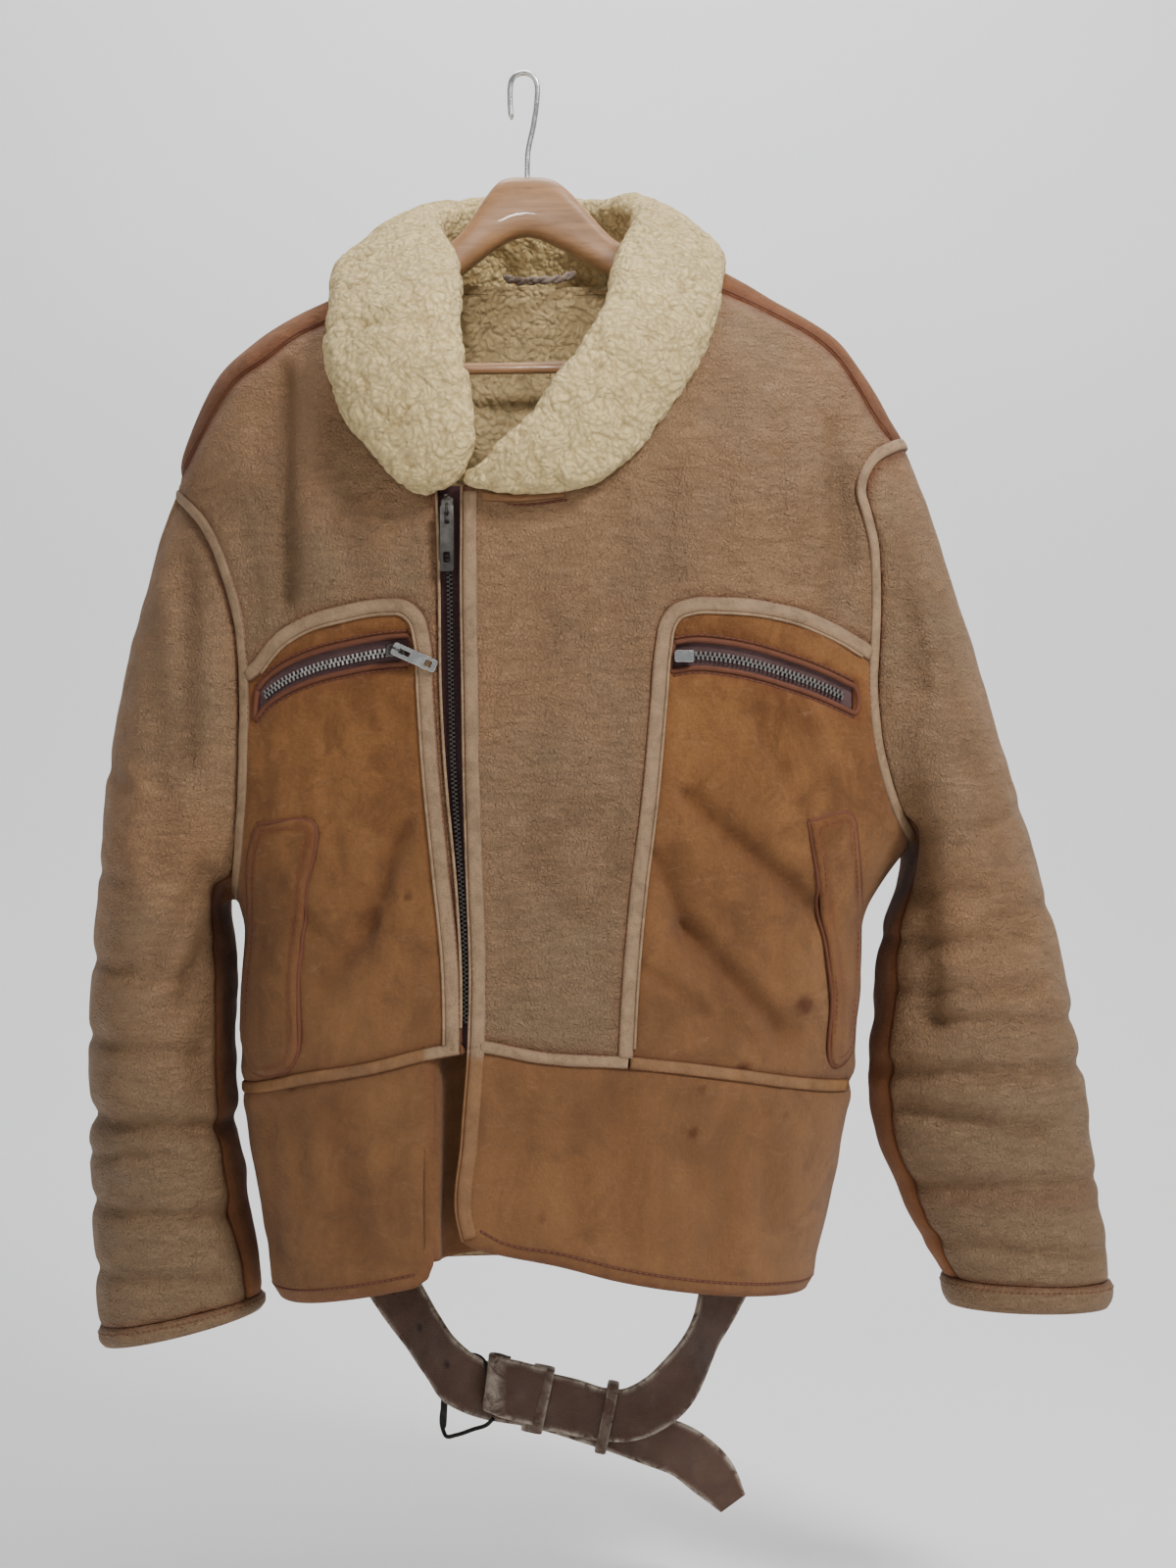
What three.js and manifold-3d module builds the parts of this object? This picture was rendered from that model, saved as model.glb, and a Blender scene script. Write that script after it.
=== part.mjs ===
// Sheepskin flying jacket, zipped part way, hanging on a contoured wooden hanger.
// Millimetres, +Z up. The front faces -Y and the wearer's left is +X.
// The origin is the seat of the hanger's hook, where a rail bears, and everything hangs below it.
import * as THREE from 'three';
import { mergeVertices } from 'three/addons/utils/BufferGeometryUtils.js';
import Module from 'manifold-3d';

const wasm = await Module();
wasm.setup();

// Driving sizes
const SKIN = 8;             // sheepskin wall, leather and clipped fleece
const SLEEVE_SKIN = 6;      // sleeve wall
const SEAM = 0.3;           // gap between pieces at a seam
const TAPE = 2;             // seam tape thickness
const TAPE_WIDTH = 10.5;    // pocket and front tapes
const NARROW_TAPE = 8.5;    // armhole and waist tapes
const WELT = 4;             // welt thickness
const SQUARENESS = 2.3;     // exponent of the body's plan sections
const SIDE_Y = 6;           // depth of the side seams
const REACH = 400;          // length of a cutter, past everything it cuts
const FRONT_COLUMNS = 20;   // columns round the front half of the body
const BACK_COLUMNS = 8;     // columns round the back half
const BODY_ROWS = 21;       // rows from neck to hem
const BODY_TOP = -104;
const BODY_BOTTOM = -850;

// Plan sections of the body, from the neck down
const BODY = [
  { z: -104, left: -40, right: 68, front: 22, back: 44 },
  { z: -130, left: -84, right: 122, front: 45, back: 70 },
  { z: -157, left: -134, right: 167, front: 64, back: 80 },
  { z: -180, left: -180, right: 206, front: 78, back: 86 },
  { z: -206, left: -209, right: 228, front: 90, back: 90 },
  { z: -240, left: -225, right: 248, front: 100, back: 94 },
  { z: -270, left: -235, right: 264, front: 106, back: 97 },
  { z: -330, left: -236, right: 272, front: 112, back: 102 },
  { z: -420, left: -230, right: 270, front: 115, back: 106 },
  { z: -505, left: -224, right: 269, front: 116, back: 108 },
  { z: -530, left: -215, right: 256, front: 117, back: 109 },
  { z: -568, left: -194, right: 233, front: 117, back: 110 },
  { z: -620, left: -193, right: 228, front: 118, back: 111 },
  { z: -690, left: -192, right: 220, front: 118, back: 112 },
  { z: -760, left: -182, right: 208, front: 120, back: 116 },
  { z: -833, left: -169, right: 190, front: 122, back: 118 },
  { z: -850, left: -167, right: 187, front: 122, back: 118 },
];

// Soft troughs in the fronts: from, to, depth and half width
const CREASES = [
  { x1: -78, z1: -515, x2: -102, z2: -575, depth: 4, wide: 10 },
  { x1: -102, z1: -575, x2: -128, z2: -615, depth: 4, wide: 10 },
  { x1: 88, z1: -535, x2: 106, z2: -580, depth: 4, wide: 10 },
  { x1: 106, z1: -580, x2: 168, z2: -645, depth: 5, wide: 11 },
  { x1: 106, z1: -495, x2: 190, z2: -570, depth: 4, wide: 11 },
  { x1: -160, z1: -225, x2: -158, z2: -365, depth: 6, wide: 14 },
  { x1: 93, z1: -285, x2: 92, z2: -350, depth: 4, wide: 14 },
  { x1: 208, z1: -290, x2: 200, z2: -370, depth: 5, wide: 12 },
  { x1: -120, z1: -700, x2: -110, z2: -780, depth: 4, wide: 16 },
  { x1: 60, z1: -690, x2: 70, z2: -770, depth: 3, wide: 16 },
];

// Lines seen from the front, as [x, z]
const YOKE_RIGHT = [[-70, -150], [-128, -177], [-151, -187], [-174, -204], [-192, -215], [-205, -231],
  [-218, -253], [-230, -273], [-262, -290]];
const YOKE_LEFT = [[70, -138], [129, -155], [146, -162], [172, -175], [194, -187], [209, -200], [221, -218],
  [232, -237], [243, -252], [264, -264]];
const POCKET_RIGHT = [[-205, -430], [-174, -408], [-159, -391], [-142, -381], [-116, -374], [-90, -370],
  [-76, -371], [-68, -378], [-64, -392], [-62, -424], [-59, -470], [-52, -540], [-46, -600], [-45, -690]];
const POCKET_LEFT = [[262, -424], [222, -396], [204, -386], [182, -377], [155, -371], [128, -369],
  [107, -370], [97, -374], [92, -381], [89, -396], [86, -430], [80, -496], [73, -553], [68, -609], [64, -690]];
const WAIST_RIGHT = [[-260, -696], [-187, -687], [-140, -675], [-96, -666], [-63, -657], [-20, -649]];
const WAIST_LEFT = [[-60, -649], [-27, -651], [11, -658], [71, -662], [137, -671], [180, -679], [270, -694]];
const ARMHOLE_RIGHT = [[-262, -276], [-241, -285], [-226, -297], [-213, -311], [-204, -326], [-194, -351],
  [-187, -376], [-184, -399], [-183, -455], [-185, -503], [-190, -540], [-199, -566], [-222, -590]];
const ARMHOLE_LEFT = [[285, -244], [261, -252], [242, -261], [230, -269], [223, -280], [221, -293],
  [224, -307], [228, -325], [230, -363], [228, -428], [232, -462], [239, -487], [250, -510], [270, -528],
  [300, -545]];
const BACK_WAIST_Z = -682;
const BACK_SEAM_X = 8;
const ZIP_EDGE = [[-56, -285], [-55, -301], [-53, -359], [-52, -424], [-49, -477], [-42, -551], [-39, -604],
  [-39, -640]];
const FREE_EDGE = [[-40, -285], [-40, -305], [-40, -359], [-39, -421], [-38, -484], [-36, -546], [-34, -609],
  [-35, -653], [-39, -709], [-41, -766], [-37, -777], [-28, -781]];
const BAND_EDGE = [[-57, -640], [-57, -790], [-61, -800], [-69, -806]];
const HEM_RIGHT = [[-69, -806], [-92, -812], [-117, -818], [-154, -826], [-190, -830], [-260, -832]];
const HEM_LEFT = [[-28, -781], [-14, -784], [23, -791], [61, -801], [112, -811], [165, -819], [200, -824],
  [260, -828]];
const BACK_HEM_Z = -828;
const NECK_RIGHT = [[-88, -90], [-88, -140], [-84, -190], [-76, -240], [-60, -285]];
const NECK_LEFT = [[90, -90], [92, -150], [78, -200], [48, -245], [10, -275], [-36, -292]];
const NECK_BACK = [[-88, -90], [-84, -126], [-55, -131], [60, -131], [88, -124], [90, -90]];
const WINDOW_RIGHT_TOP = [[-176, -430], [-172, -419], [-159, -409], [-138, -400], [-113, -394], [-89, -390],
  [-74, -389]];
const WINDOW_LEFT_TOP = [[96, -394], [107, -392], [128, -393], [150, -397], [171, -403], [192, -410], [215, -420]];
const WINDOW_TALL = 18;      // height of a pocket zip's opening
const WELT_RIGHT = [[-173, -510], [-136, -509], [-140, -552], [-146, -606], [-156, -672], [-180, -674],
  [-186, -663], [-184, -587], [-177, -520]];
const WELT_LEFT = [[183, -508], [212, -504], [217, -526], [222, -576], [218, -640], [212, -667], [206, -670],
  [201, -622], [196, -583], [189, -539]];
const CHAIN = [[-49, -296], [-47, -359], [-46, -424], [-44, -484], [-39.6, -546], [-37, -604], [-37, -640]];

// Where the fronts and the back part along the sides: below the arms, and at each shoulder's tip
const SIDE_CUTS = [
  { fromX: -REACH, toX: REACH, low: -900, high: -500 },
  { fromX: -REACH, toX: 0, low: -320, high: -254 },
  { fromX: 0, toX: REACH, low: -285, high: -236 },
];

// Finishes
const COLOURS = {
  leather: [0x9a7858, 0.75, 0], suede: [0xa0683a, 0.95, 0], rust: [0x8a5535, 0.95, 0],
  tape: [0xa58c73, 0.7, 0], fleece: [0xe0d2a4, 1, 0], zipTape: [0x35282a, 0.9, 0], metal: [0x77736e, 0.4, 1],
  chrome: [0xc8c8cc, 0.15, 1], belt: [0x66493a, 0.7, 0], wood: [0xa07858, 0.55, 0],
};

// Steps a table smoothly: a cubic through its rows with slopes from the neighbours
function along(rows, key, column, at) {
  const order = rows[0][key] > rows[rows.length - 1][key] ? -1 : 1;
  let i = 0;
  while (i < rows.length - 2 && order * rows[i + 1][key] < order * at) i += 1;
  const a = rows[i];
  const b = rows[i + 1];
  const span = b[key] - a[key];
  const t = Math.min(1, Math.max(0, (at - a[key]) / span));
  const slope = (p, q) => (q[column] - p[column]) / (q[key] - p[key]);
  const middle = slope(a, b);
  const soft = (m) => (m * middle <= 0 ? 0 : m);
  const before = i > 0 ? soft((slope(rows[i - 1], a) + middle) / 2) : middle;
  const after = i < rows.length - 2 ? soft((middle + slope(b, rows[i + 2])) / 2) : middle;
  const t2 = t * t;
  const t3 = t2 * t;
  return a[column] * (2 * t3 - 3 * t2 + 1) + before * span * (t3 - 2 * t2 + t)
    + b[column] * (3 * t2 - 2 * t3) + after * span * (t3 - t2);
}

function section(z) {
  const left = along(BODY, 'z', 'left', z);
  const right = along(BODY, 'z', 'right', z);
  return {
    middle: (left + right) / 2,
    half: (right - left) / 2,
    front: along(BODY, 'z', 'front', z),
    back: along(BODY, 'z', 'back', z),
  };
}

// How far a front point lies in from the plain form, summed over the creases near it
function creaseDepth(x, y, z) {
  if (y > 0) return 0;
  let depth = 0;
  for (const c of CREASES) {
    const dx = c.x2 - c.x1;
    const dz = c.z2 - c.z1;
    const t = Math.min(1, Math.max(0, ((x - c.x1) * dx + (z - c.z1) * dz) / (dx * dx + dz * dz)));
    const away = Math.hypot(x - c.x1 - t * dx, z - c.z1 - t * dz);
    depth += c.depth * Math.exp(-((away / c.wide) ** 2));
  }
  return depth;
}

// The body's plan section is a superellipse; this is how far outside it a point lies, as a ratio
function bodyField(x, y, z) {
  const s = section(z);
  const deep = y < 0 ? s.front : s.back;
  return Math.abs((x - s.middle) / s.half) ** SQUARENESS + Math.abs(y / deep) ** SQUARENESS;
}

function bodyNormal(x, y, z) {
  const step = 0.5;
  return new THREE.Vector3(
    bodyField(x + step, y, z) - bodyField(x - step, y, z),
    bodyField(x, y + step, z) - bodyField(x, y - step, z),
    bodyField(x, y, z + step) - bodyField(x, y, z - step),
  ).normalize();
}

// A point of the body's skin: turn 0 is the front middle and grows towards +X, out is measured along the normal
function bodyPoint(turn, z, out) {
  const s = section(z);
  const power = 2 / SQUARENESS;
  const sine = Math.sin(turn);
  const cosine = Math.cos(turn);
  const x = s.middle + s.half * Math.sign(sine) * Math.abs(sine) ** power;
  const y = -Math.sign(cosine) * (cosine > 0 ? s.front : s.back) * Math.abs(cosine) ** power;
  const normal = bodyNormal(x, y, z);
  return new THREE.Vector3(x, y, z).addScaledVector(normal, out - creaseDepth(x, y, z));
}

// Depth of the plain form at a place seen from the front, on the front or on the back
function bodyDepth(x, z, front) {
  const s = section(z);
  const side = Math.min(1, Math.abs((x - s.middle) / s.half));
  return (front ? -s.front : s.back) * (1 - side ** SQUARENESS) ** (1 / SQUARENESS);
}

// Solids
function toGeometry(points, faces) {
  const geometry = new THREE.BufferGeometry();
  geometry.setAttribute('position', new THREE.Float32BufferAttribute(points.flatMap((p) => [p.x, p.y, p.z]), 3));
  geometry.setIndex(faces);
  return geometry;
}

function toSolid(geometry) {
  geometry.deleteAttribute('normal');
  geometry.deleteAttribute('uv');
  const merged = mergeVertices(geometry, 1e-4);
  return new wasm.Manifold(new wasm.Mesh({
    numProp: 3,
    vertProperties: merged.attributes.position.array,
    triVerts: new Uint32Array(merged.index.array),
  }));
}

function solidMesh(solid) {
  const mesh = solid.getMesh();
  const geometry = new THREE.BufferGeometry();
  geometry.setAttribute('position', new THREE.Float32BufferAttribute(mesh.vertProperties, 3));
  geometry.setIndex([...mesh.triVerts]);
  return geometry;
}

function turnOut(solid, geometry) {
  return solid.volume() < 0 ? toSolid(flip(geometry)) : solid;
}

function flip(geometry) {
  const index = [...geometry.index.array];
  for (let i = 0; i < index.length; i += 3) [index[i], index[i + 1]] = [index[i + 1], index[i]];
  geometry.setIndex(index);
  return geometry;
}

// A closed tube wall from rings: outer and inner points, open at both ends
function tubeWall(outer, inner) {
  const rings = outer.length;
  const round = outer[0].length;
  const points = [...outer.flat(), ...inner.flat()];
  const faces = [];
  const quad = (a, b, c, d) => faces.push(a, b, c, a, c, d);
  const at = (i, j, layer) => layer * rings * round + i * round + (j % round);
  for (let j = 0; j < round; j += 1) {
    for (let i = 0; i < rings - 1; i += 1) {
      quad(at(i, j, 0), at(i, j + 1, 0), at(i + 1, j + 1, 0), at(i + 1, j, 0));
      quad(at(i, j, 1), at(i + 1, j, 1), at(i + 1, j + 1, 1), at(i, j + 1, 1));
    }
    quad(at(0, j, 1), at(0, j + 1, 1), at(0, j + 1, 0), at(0, j, 0));
    quad(at(rings - 1, j, 0), at(rings - 1, j + 1, 0), at(rings - 1, j + 1, 1), at(rings - 1, j, 1));
  }
  return outward(toGeometry(points, faces));
}

// A closed solid from rings of points, with a flat fan at each end
function loft(rings) {
  const round = rings[0].length;
  const points = rings.flat();
  const faces = [];
  for (let i = 0; i < rings.length - 1; i += 1) {
    for (let j = 0; j < round; j += 1) {
      const a = i * round + j;
      const b = i * round + ((j + 1) % round);
      faces.push(a, b, b + round, a, b + round, a + round);
    }
  }
  for (const [start, reverse] of [[0, false], [(rings.length - 1) * round, true]]) {
    const middle = new THREE.Vector3();
    for (let j = 0; j < round; j += 1) middle.add(points[start + j]);
    points.push(middle.divideScalar(round));
    for (let j = 0; j < round; j += 1) {
      const a = start + j;
      const b = start + ((j + 1) % round);
      faces.push(...(reverse ? [a, b, points.length - 1] : [b, a, points.length - 1]));
    }
  }
  return outward(toGeometry(points, faces));
}

function outward(geometry) {
  const solid = toSolid(geometry);
  return turnOut(solid, geometry);
}

// A prism along Y over an outline seen from the front, between two depths
function prism(outline, near = -REACH, far = REACH) {
  const shape = new THREE.Shape(outline.map(([x, z]) => new THREE.Vector2(x, z)));
  const geometry = new THREE.ExtrudeGeometry(shape, { depth: far - near, bevelEnabled: false, curveSegments: 1 });
  geometry.rotateX(Math.PI / 2);
  geometry.translate(0, far, 0);
  return toSolid(geometry);
}

function block(low, high) {
  const size = new THREE.Vector3(...high).sub(new THREE.Vector3(...low));
  const geometry = new THREE.BoxGeometry(size.x, size.y, size.z);
  geometry.translate((low[0] + high[0]) / 2, (low[1] + high[1]) / 2, (low[2] + high[2]) / 2);
  return toSolid(geometry);
}

// The outline of a band of even width along a line
function bandOutline(line, width) {
  const one = [];
  const other = [];
  line.forEach(([x, z], i) => {
    const [ax, az] = line[Math.max(0, i - 1)];
    const [bx, bz] = line[Math.min(line.length - 1, i + 1)];
    const length = Math.hypot(bx - ax, bz - az);
    const nx = -(bz - az) / length;
    const nz = (bx - ax) / length;
    one.push([x + nx * width / 2, z + nz * width / 2]);
    other.push([x - nx * width / 2, z - nz * width / 2]);
  });
  return [...one, ...other.reverse()];
}

const FRONT = [-REACH, 0];
const BACK = [0, REACH];

function band(line, width, side) {
  return prism(bandOutline(line, width), ...side);
}

// The part of a line between two of its heights or, with axis 0, two of its x places
function stretch(line, from, to, axis = 1) {
  const low = Math.min(from, to);
  const high = Math.max(from, to);
  const cut = (p, q, at) => {
    const t = (at - p[axis]) / (q[axis] - p[axis]);
    return [p[0] + t * (q[0] - p[0]), p[1] + t * (q[1] - p[1])];
  };
  const result = [];
  line.forEach((p, i) => {
    if (i > 0) {
      const q = line[i - 1];
      const crossings = [low, high].filter((v) => (q[axis] - v) * (p[axis] - v) < 0);
      crossings.sort((a, b) => Math.abs(a - q[axis]) - Math.abs(b - q[axis]));
      for (const v of crossings) result.push(cut(q, p, v));
    }
    if (p[axis] >= low && p[axis] <= high) result.push(p);
  });
  return result;
}

function shifted(line, dx, dz = 0) {
  return line.map(([x, z]) => [x + dx, z + dz]);
}

// Columns of the body, closer together round the front
function bodyTurns() {
  const turns = [];
  for (let j = 0; j < FRONT_COLUMNS; j += 1) turns.push(-Math.PI / 2 + (Math.PI * j) / FRONT_COLUMNS);
  for (let j = 0; j < BACK_COLUMNS; j += 1) turns.push(Math.PI / 2 + (Math.PI * j) / BACK_COLUMNS);
  return turns;
}

function bodyRing(z, out) {
  return bodyTurns().map((turn) => bodyPoint(turn, z, out));
}

function bodyHeights() {
  return Array.from({ length: BODY_ROWS + 1 }, (_, i) => BODY_TOP + ((BODY_BOTTOM - BODY_TOP) * i) / BODY_ROWS);
}

function bodyShell(innerOut, outerOut) {
  const heights = bodyHeights();
  return tubeWall(heights.map((z) => bodyRing(z, outerOut)), heights.map((z) => bodyRing(z, innerOut)));
}

function bodyCore(out) {
  return loft(bodyHeights().map((z) => bodyRing(z, out)));
}

// Cutters of the armholes: everything outside the armhole line, grown by a margin towards the sleeve
function armholeCutter(line, side, margin) {
  const edge = shifted(line, side * (TAPE_WIDTH / 2 + margin));
  const far = side * REACH;
  return prism([...edge, [far, edge[edge.length - 1][1]], [far, edge[0][1]]]);
}

const panels = {};
const tapes = {};

function makePanels() {
  let wall = bodyShell(-SKIN, 0);
  wall = wall.subtract(armholeCutter(ARMHOLE_RIGHT, -1, 0)).subtract(armholeCutter(ARMHOLE_LEFT, 1, 0));
  wall = wall.subtract(prism([[-88, -60], ...NECK_RIGHT, ...[...NECK_LEFT].reverse(), [90, -60]], -REACH, 1));
  wall = wall.subtract(prism([...NECK_BACK, [90, -60], [-88, -60]], -1, REACH));
  const opening = [...ZIP_EDGE, ...BAND_EDGE, [-69, -900], [-28, -900], ...[...FREE_EDGE].reverse()];
  wall = wall.subtract(prism(opening, ...FRONT));
  wall = wall.subtract(prism([...HEM_RIGHT, [-260, -900], [-50, -900], [-50, -806]], -REACH, SIDE_Y + SEAM));
  wall = wall.subtract(prism([...HEM_LEFT, [260, -900], [-50, -900], [-50, -781]], -REACH, SIDE_Y + SEAM));
  wall = wall.subtract(block([-REACH, 0, -900], [REACH, REACH, BACK_HEM_Z]));
  for (const line of [YOKE_RIGHT, YOKE_LEFT, POCKET_RIGHT, POCKET_LEFT, WAIST_RIGHT, WAIST_LEFT]) {
    wall = wall.subtract(band(line, SEAM, [-REACH, SIDE_Y]));
  }
  wall = wall.subtract(block([-REACH, 0, BACK_WAIST_Z - SEAM], [REACH, REACH, BACK_WAIST_Z]));
  for (const cut of SIDE_CUTS) {
    wall = wall.subtract(block([cut.fromX, SIDE_Y, cut.low], [cut.toX, SIDE_Y + SEAM, cut.high]));
  }
  wall = wall.subtract(block([BACK_SEAM_X - SEAM / 2, 0, BACK_WAIST_Z], [BACK_SEAM_X + SEAM / 2, REACH, 0]));
  for (const top of [WINDOW_RIGHT_TOP, WINDOW_LEFT_TOP]) {
    wall = wall.subtract(prism([...top, ...shifted(top, 0, -WINDOW_TALL).reverse()], ...FRONT));
  }
  return wall.decompose();
}

// Each panel is the piece of the wall that a thin probe through its own place meets
const PANEL_PLACES = {
  chest_right: { x: -120, z: -300, front: true, finish: 'leather' },
  pocket_panel_right: { x: -100, z: -500, front: true, finish: 'suede' },
  hem_band_right: { x: -110, z: -750, front: true, finish: 'suede' },
  chest_left: { x: 30, z: -450, front: true, finish: 'leather' },
  pocket_panel_left: { x: 140, z: -500, front: true, finish: 'suede' },
  hem_band_left: { x: 60, z: -740, front: true, finish: 'suede' },
  back_right: { x: -100, z: -450, front: false, finish: 'rust' },
  back_left: { x: 100, z: -450, front: false, finish: 'rust' },
  hem_band_back: { x: 10, z: -750, front: false, finish: 'suede' },
};

function probe({ x, z, front }) {
  return block([x - 1, front ? -REACH : 0, z - 1], [x + 1, front ? 0 : REACH, z + 1]);
}

function namePanels(pieces) {
  for (const [name, place] of Object.entries(PANEL_PLACES)) {
    const needle = probe(place);
    const piece = pieces.find((p) => p.intersect(needle).volume() > 0);
    if (!piece) throw new Error(`no wall piece at ${name}`);
    panels[name] = piece;
  }
}

// The right hem band folds back at its front edge and runs on behind the left one
function underlap() {
  const foldX = -57;
  const rows = [-664, -700, -740, -770, -789];
  const depthAt = (z) => bodyDepth(foldX, z, true);
  const rings = rows.map((z) => {
    const y = depthAt(z);
    const path = [[foldX - 6, y + 0.5], [foldX + 3, y + 3], [foldX + 6, y + 12], [foldX + 14, y + 19],
      [foldX + 30, y + 21], [foldX + 49, y + 20]];
    const back = [[foldX + 49, y + 24], [foldX + 30, y + 25], [foldX + 11, y + 23.5], [foldX + 1, y + 15],
      [foldX - 2, y + 7.5], [foldX - 6, y + 7]];
    const drop = z === rows[rows.length - 1] ? 0.12 : 0;
    return [...path, ...back].map(([x, py]) => new THREE.Vector3(x, py, z + (x - foldX) * drop));
  });
  return loft(rings);
}

// Tapes lie on the panels: a shell moved out from the body, cut to a band
function makeTapes() {
  const shell = bodyShell(SEAM, SEAM + TAPE);
  const arm = armholeCutter(ARMHOLE_RIGHT, -1, -SEAM).add(armholeCutter(ARMHOLE_LEFT, 1, -SEAM));
  const laid = shell.subtract(arm);
  const place = (name, line, width, side, avoid = []) => {
    let tape = laid.intersect(band(line, width, side));
    for (const [other, otherWidth] of avoid) tape = tape.subtract(band(other, otherWidth + 2 * SEAM, side));
    tapes[name] = largest(tape);
  };
  const armR = stretch(ARMHOLE_RIGHT, -283, -566);
  const armL = stretch(ARMHOLE_LEFT, -252, -522);
  place('armhole_tape_front_right', armR, NARROW_TAPE, FRONT);
  place('armhole_tape_front_left', armL, NARROW_TAPE, FRONT);
  place('armhole_tape_back_right', armR, NARROW_TAPE, [SIDE_Y + 2, REACH]);
  place('armhole_tape_back_left', armL, NARROW_TAPE, [SIDE_Y + 2, REACH]);
  const waistR = stretch(WAIST_RIGHT, -196, -40, 0);
  const waistL = stretch(WAIST_LEFT, -36, 222, 0);
  place('waist_tape_right', waistR, NARROW_TAPE, FRONT);
  place('waist_tape_left', stretch(waistL, 67, 222, 0), NARROW_TAPE, FRONT);
  place('waist_tape_middle', stretch(waistL, -22, 66.4, 0), NARROW_TAPE, FRONT);
  place('pocket_tape_right', POCKET_RIGHT, TAPE_WIDTH, FRONT, [[armR, NARROW_TAPE], [WAIST_RIGHT, NARROW_TAPE]]);
  place('pocket_tape_left', POCKET_LEFT, TAPE_WIDTH, FRONT, [[armL, NARROW_TAPE], [WAIST_LEFT, NARROW_TAPE]]);
  const edge = shifted(stretch(FREE_EDGE, -297, -774), 6.2);
  place('edge_binding_left', edge, TAPE_WIDTH, FRONT);
  place('neck_strip', [[-27, -300], [-5, -301], [26, -298]], 6, FRONT);
  tapes.waist_tape_back = largest(bodyShell(SEAM, SEAM + TAPE).intersect(
    block([-REACH, SIDE_Y + 2, BACK_WAIST_Z - 4], [REACH, REACH, BACK_WAIST_Z + 4])));
  const inside = bodyShell(-SKIN - SEAM - 1.5, -SKIN - SEAM);
  tapes.centre_back_tape = largest(inside.intersect(block([BACK_SEAM_X - 7, 0, -560], [BACK_SEAM_X + 7, REACH, -134])));
  const welts = bodyShell(SEAM, SEAM + WELT);
  tapes.welt_right = largest(welts.intersect(prism(WELT_RIGHT, ...FRONT)));
  tapes.welt_left = largest(welts.intersect(prism(WELT_LEFT, ...FRONT)));
}

function largest(solid) {
  const pieces = solid.decompose();
  return pieces.reduce((best, p) => (p.volume() > best.volume() ? p : best));
}

const MAIN_CHAIN = 3.2;     // width of the main zip's teeth
const POCKET_CHAIN = 4.4;

// Zips: a recessed tape with the raised chain of its teeth
function makeZips() {
  const tape = bodyShell(-4.2, -3);
  const chain = bodyShell(-3.4, -0.8);
  const gap = [...shifted(stretch(ZIP_EDGE, -292, -640), 2 * SEAM),
    ...shifted(stretch(FREE_EDGE, -292, -640), -2 * SEAM).reverse()];
  const teeth = chain.intersect(band(stretch(CHAIN, -296, -638), MAIN_CHAIN, FRONT));
  const main = tape.intersect(prism(gap, ...FRONT)).add(teeth);
  panels.main_zip = largest(main);
  for (const [name, top] of [['pocket_zip_right', WINDOW_RIGHT_TOP], ['pocket_zip_left', WINDOW_LEFT_TOP]]) {
    const inner = stretch(top, top[0][0] + SEAM, top[top.length - 1][0] - SEAM, 0);
    const window = [...shifted(inner, 0, -2 * SEAM), ...shifted(inner, 0, 2 * SEAM - WINDOW_TALL).reverse()];
    const row = stretch(shifted(top, 0, -WINDOW_TALL / 2 - 1), top[0][0] + 3, top[top.length - 1][0] - 3, 0);
    const zip = tape.intersect(prism(window, ...FRONT)).add(chain.intersect(band(row, POCKET_CHAIN, FRONT)));
    panels[name] = largest(zip);
  }
}

// Sleeves: rings from the armhole to the cuff, by their outer and inner points and half depth.
// hug is how much of the armhole's own shape a ring keeps.
const SLEEVE_RIGHT = [
  { s: 0, ox: -241, oz: -283, ix: -200, iz: -562, deep: 76, hug: 1 },
  { s: 1, ox: -251, oz: -313, ix: -204, iz: -565, deep: 80, hug: 0.75 },
  { s: 2, ox: -262, oz: -352, ix: -207, iz: -569, deep: 84, hug: 0.5 },
  { s: 3, ox: -272, oz: -400, ix: -206, iz: -574, deep: 86, hug: 0.28 },
  { s: 4, ox: -280, oz: -450, ix: -203, iz: -582, deep: 86, hug: 0.12 },
  { s: 5, ox: -287, oz: -505, ix: -200, iz: -596, deep: 84, hug: 0 },
  { s: 6, ox: -291, oz: -551, ix: -199, iz: -620, deep: 80, hug: 0 },
  { s: 7, ox: -295, oz: -600, ix: -199, iz: -652, deep: 75, hug: 0 },
  { s: 8, ox: -298, oz: -655, ix: -199, iz: -687, deep: 69, hug: 0 },
  { s: 9, ox: -298, oz: -710, ix: -198, iz: -724, deep: 63, hug: 0 },
  { s: 10, ox: -297, oz: -765, ix: -192, iz: -764, deep: 56, hug: 0 },
  { s: 11, ox: -295, oz: -815, ix: -185, iz: -802, deep: 49, hug: 0 },
  { s: 12, ox: -292, oz: -852, ix: -181, iz: -830, deep: 45, hug: 0 },
  { s: 13, ox: -290, oz: -867, ix: -180, iz: -841, deep: 44, hug: 0 },
];
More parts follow.
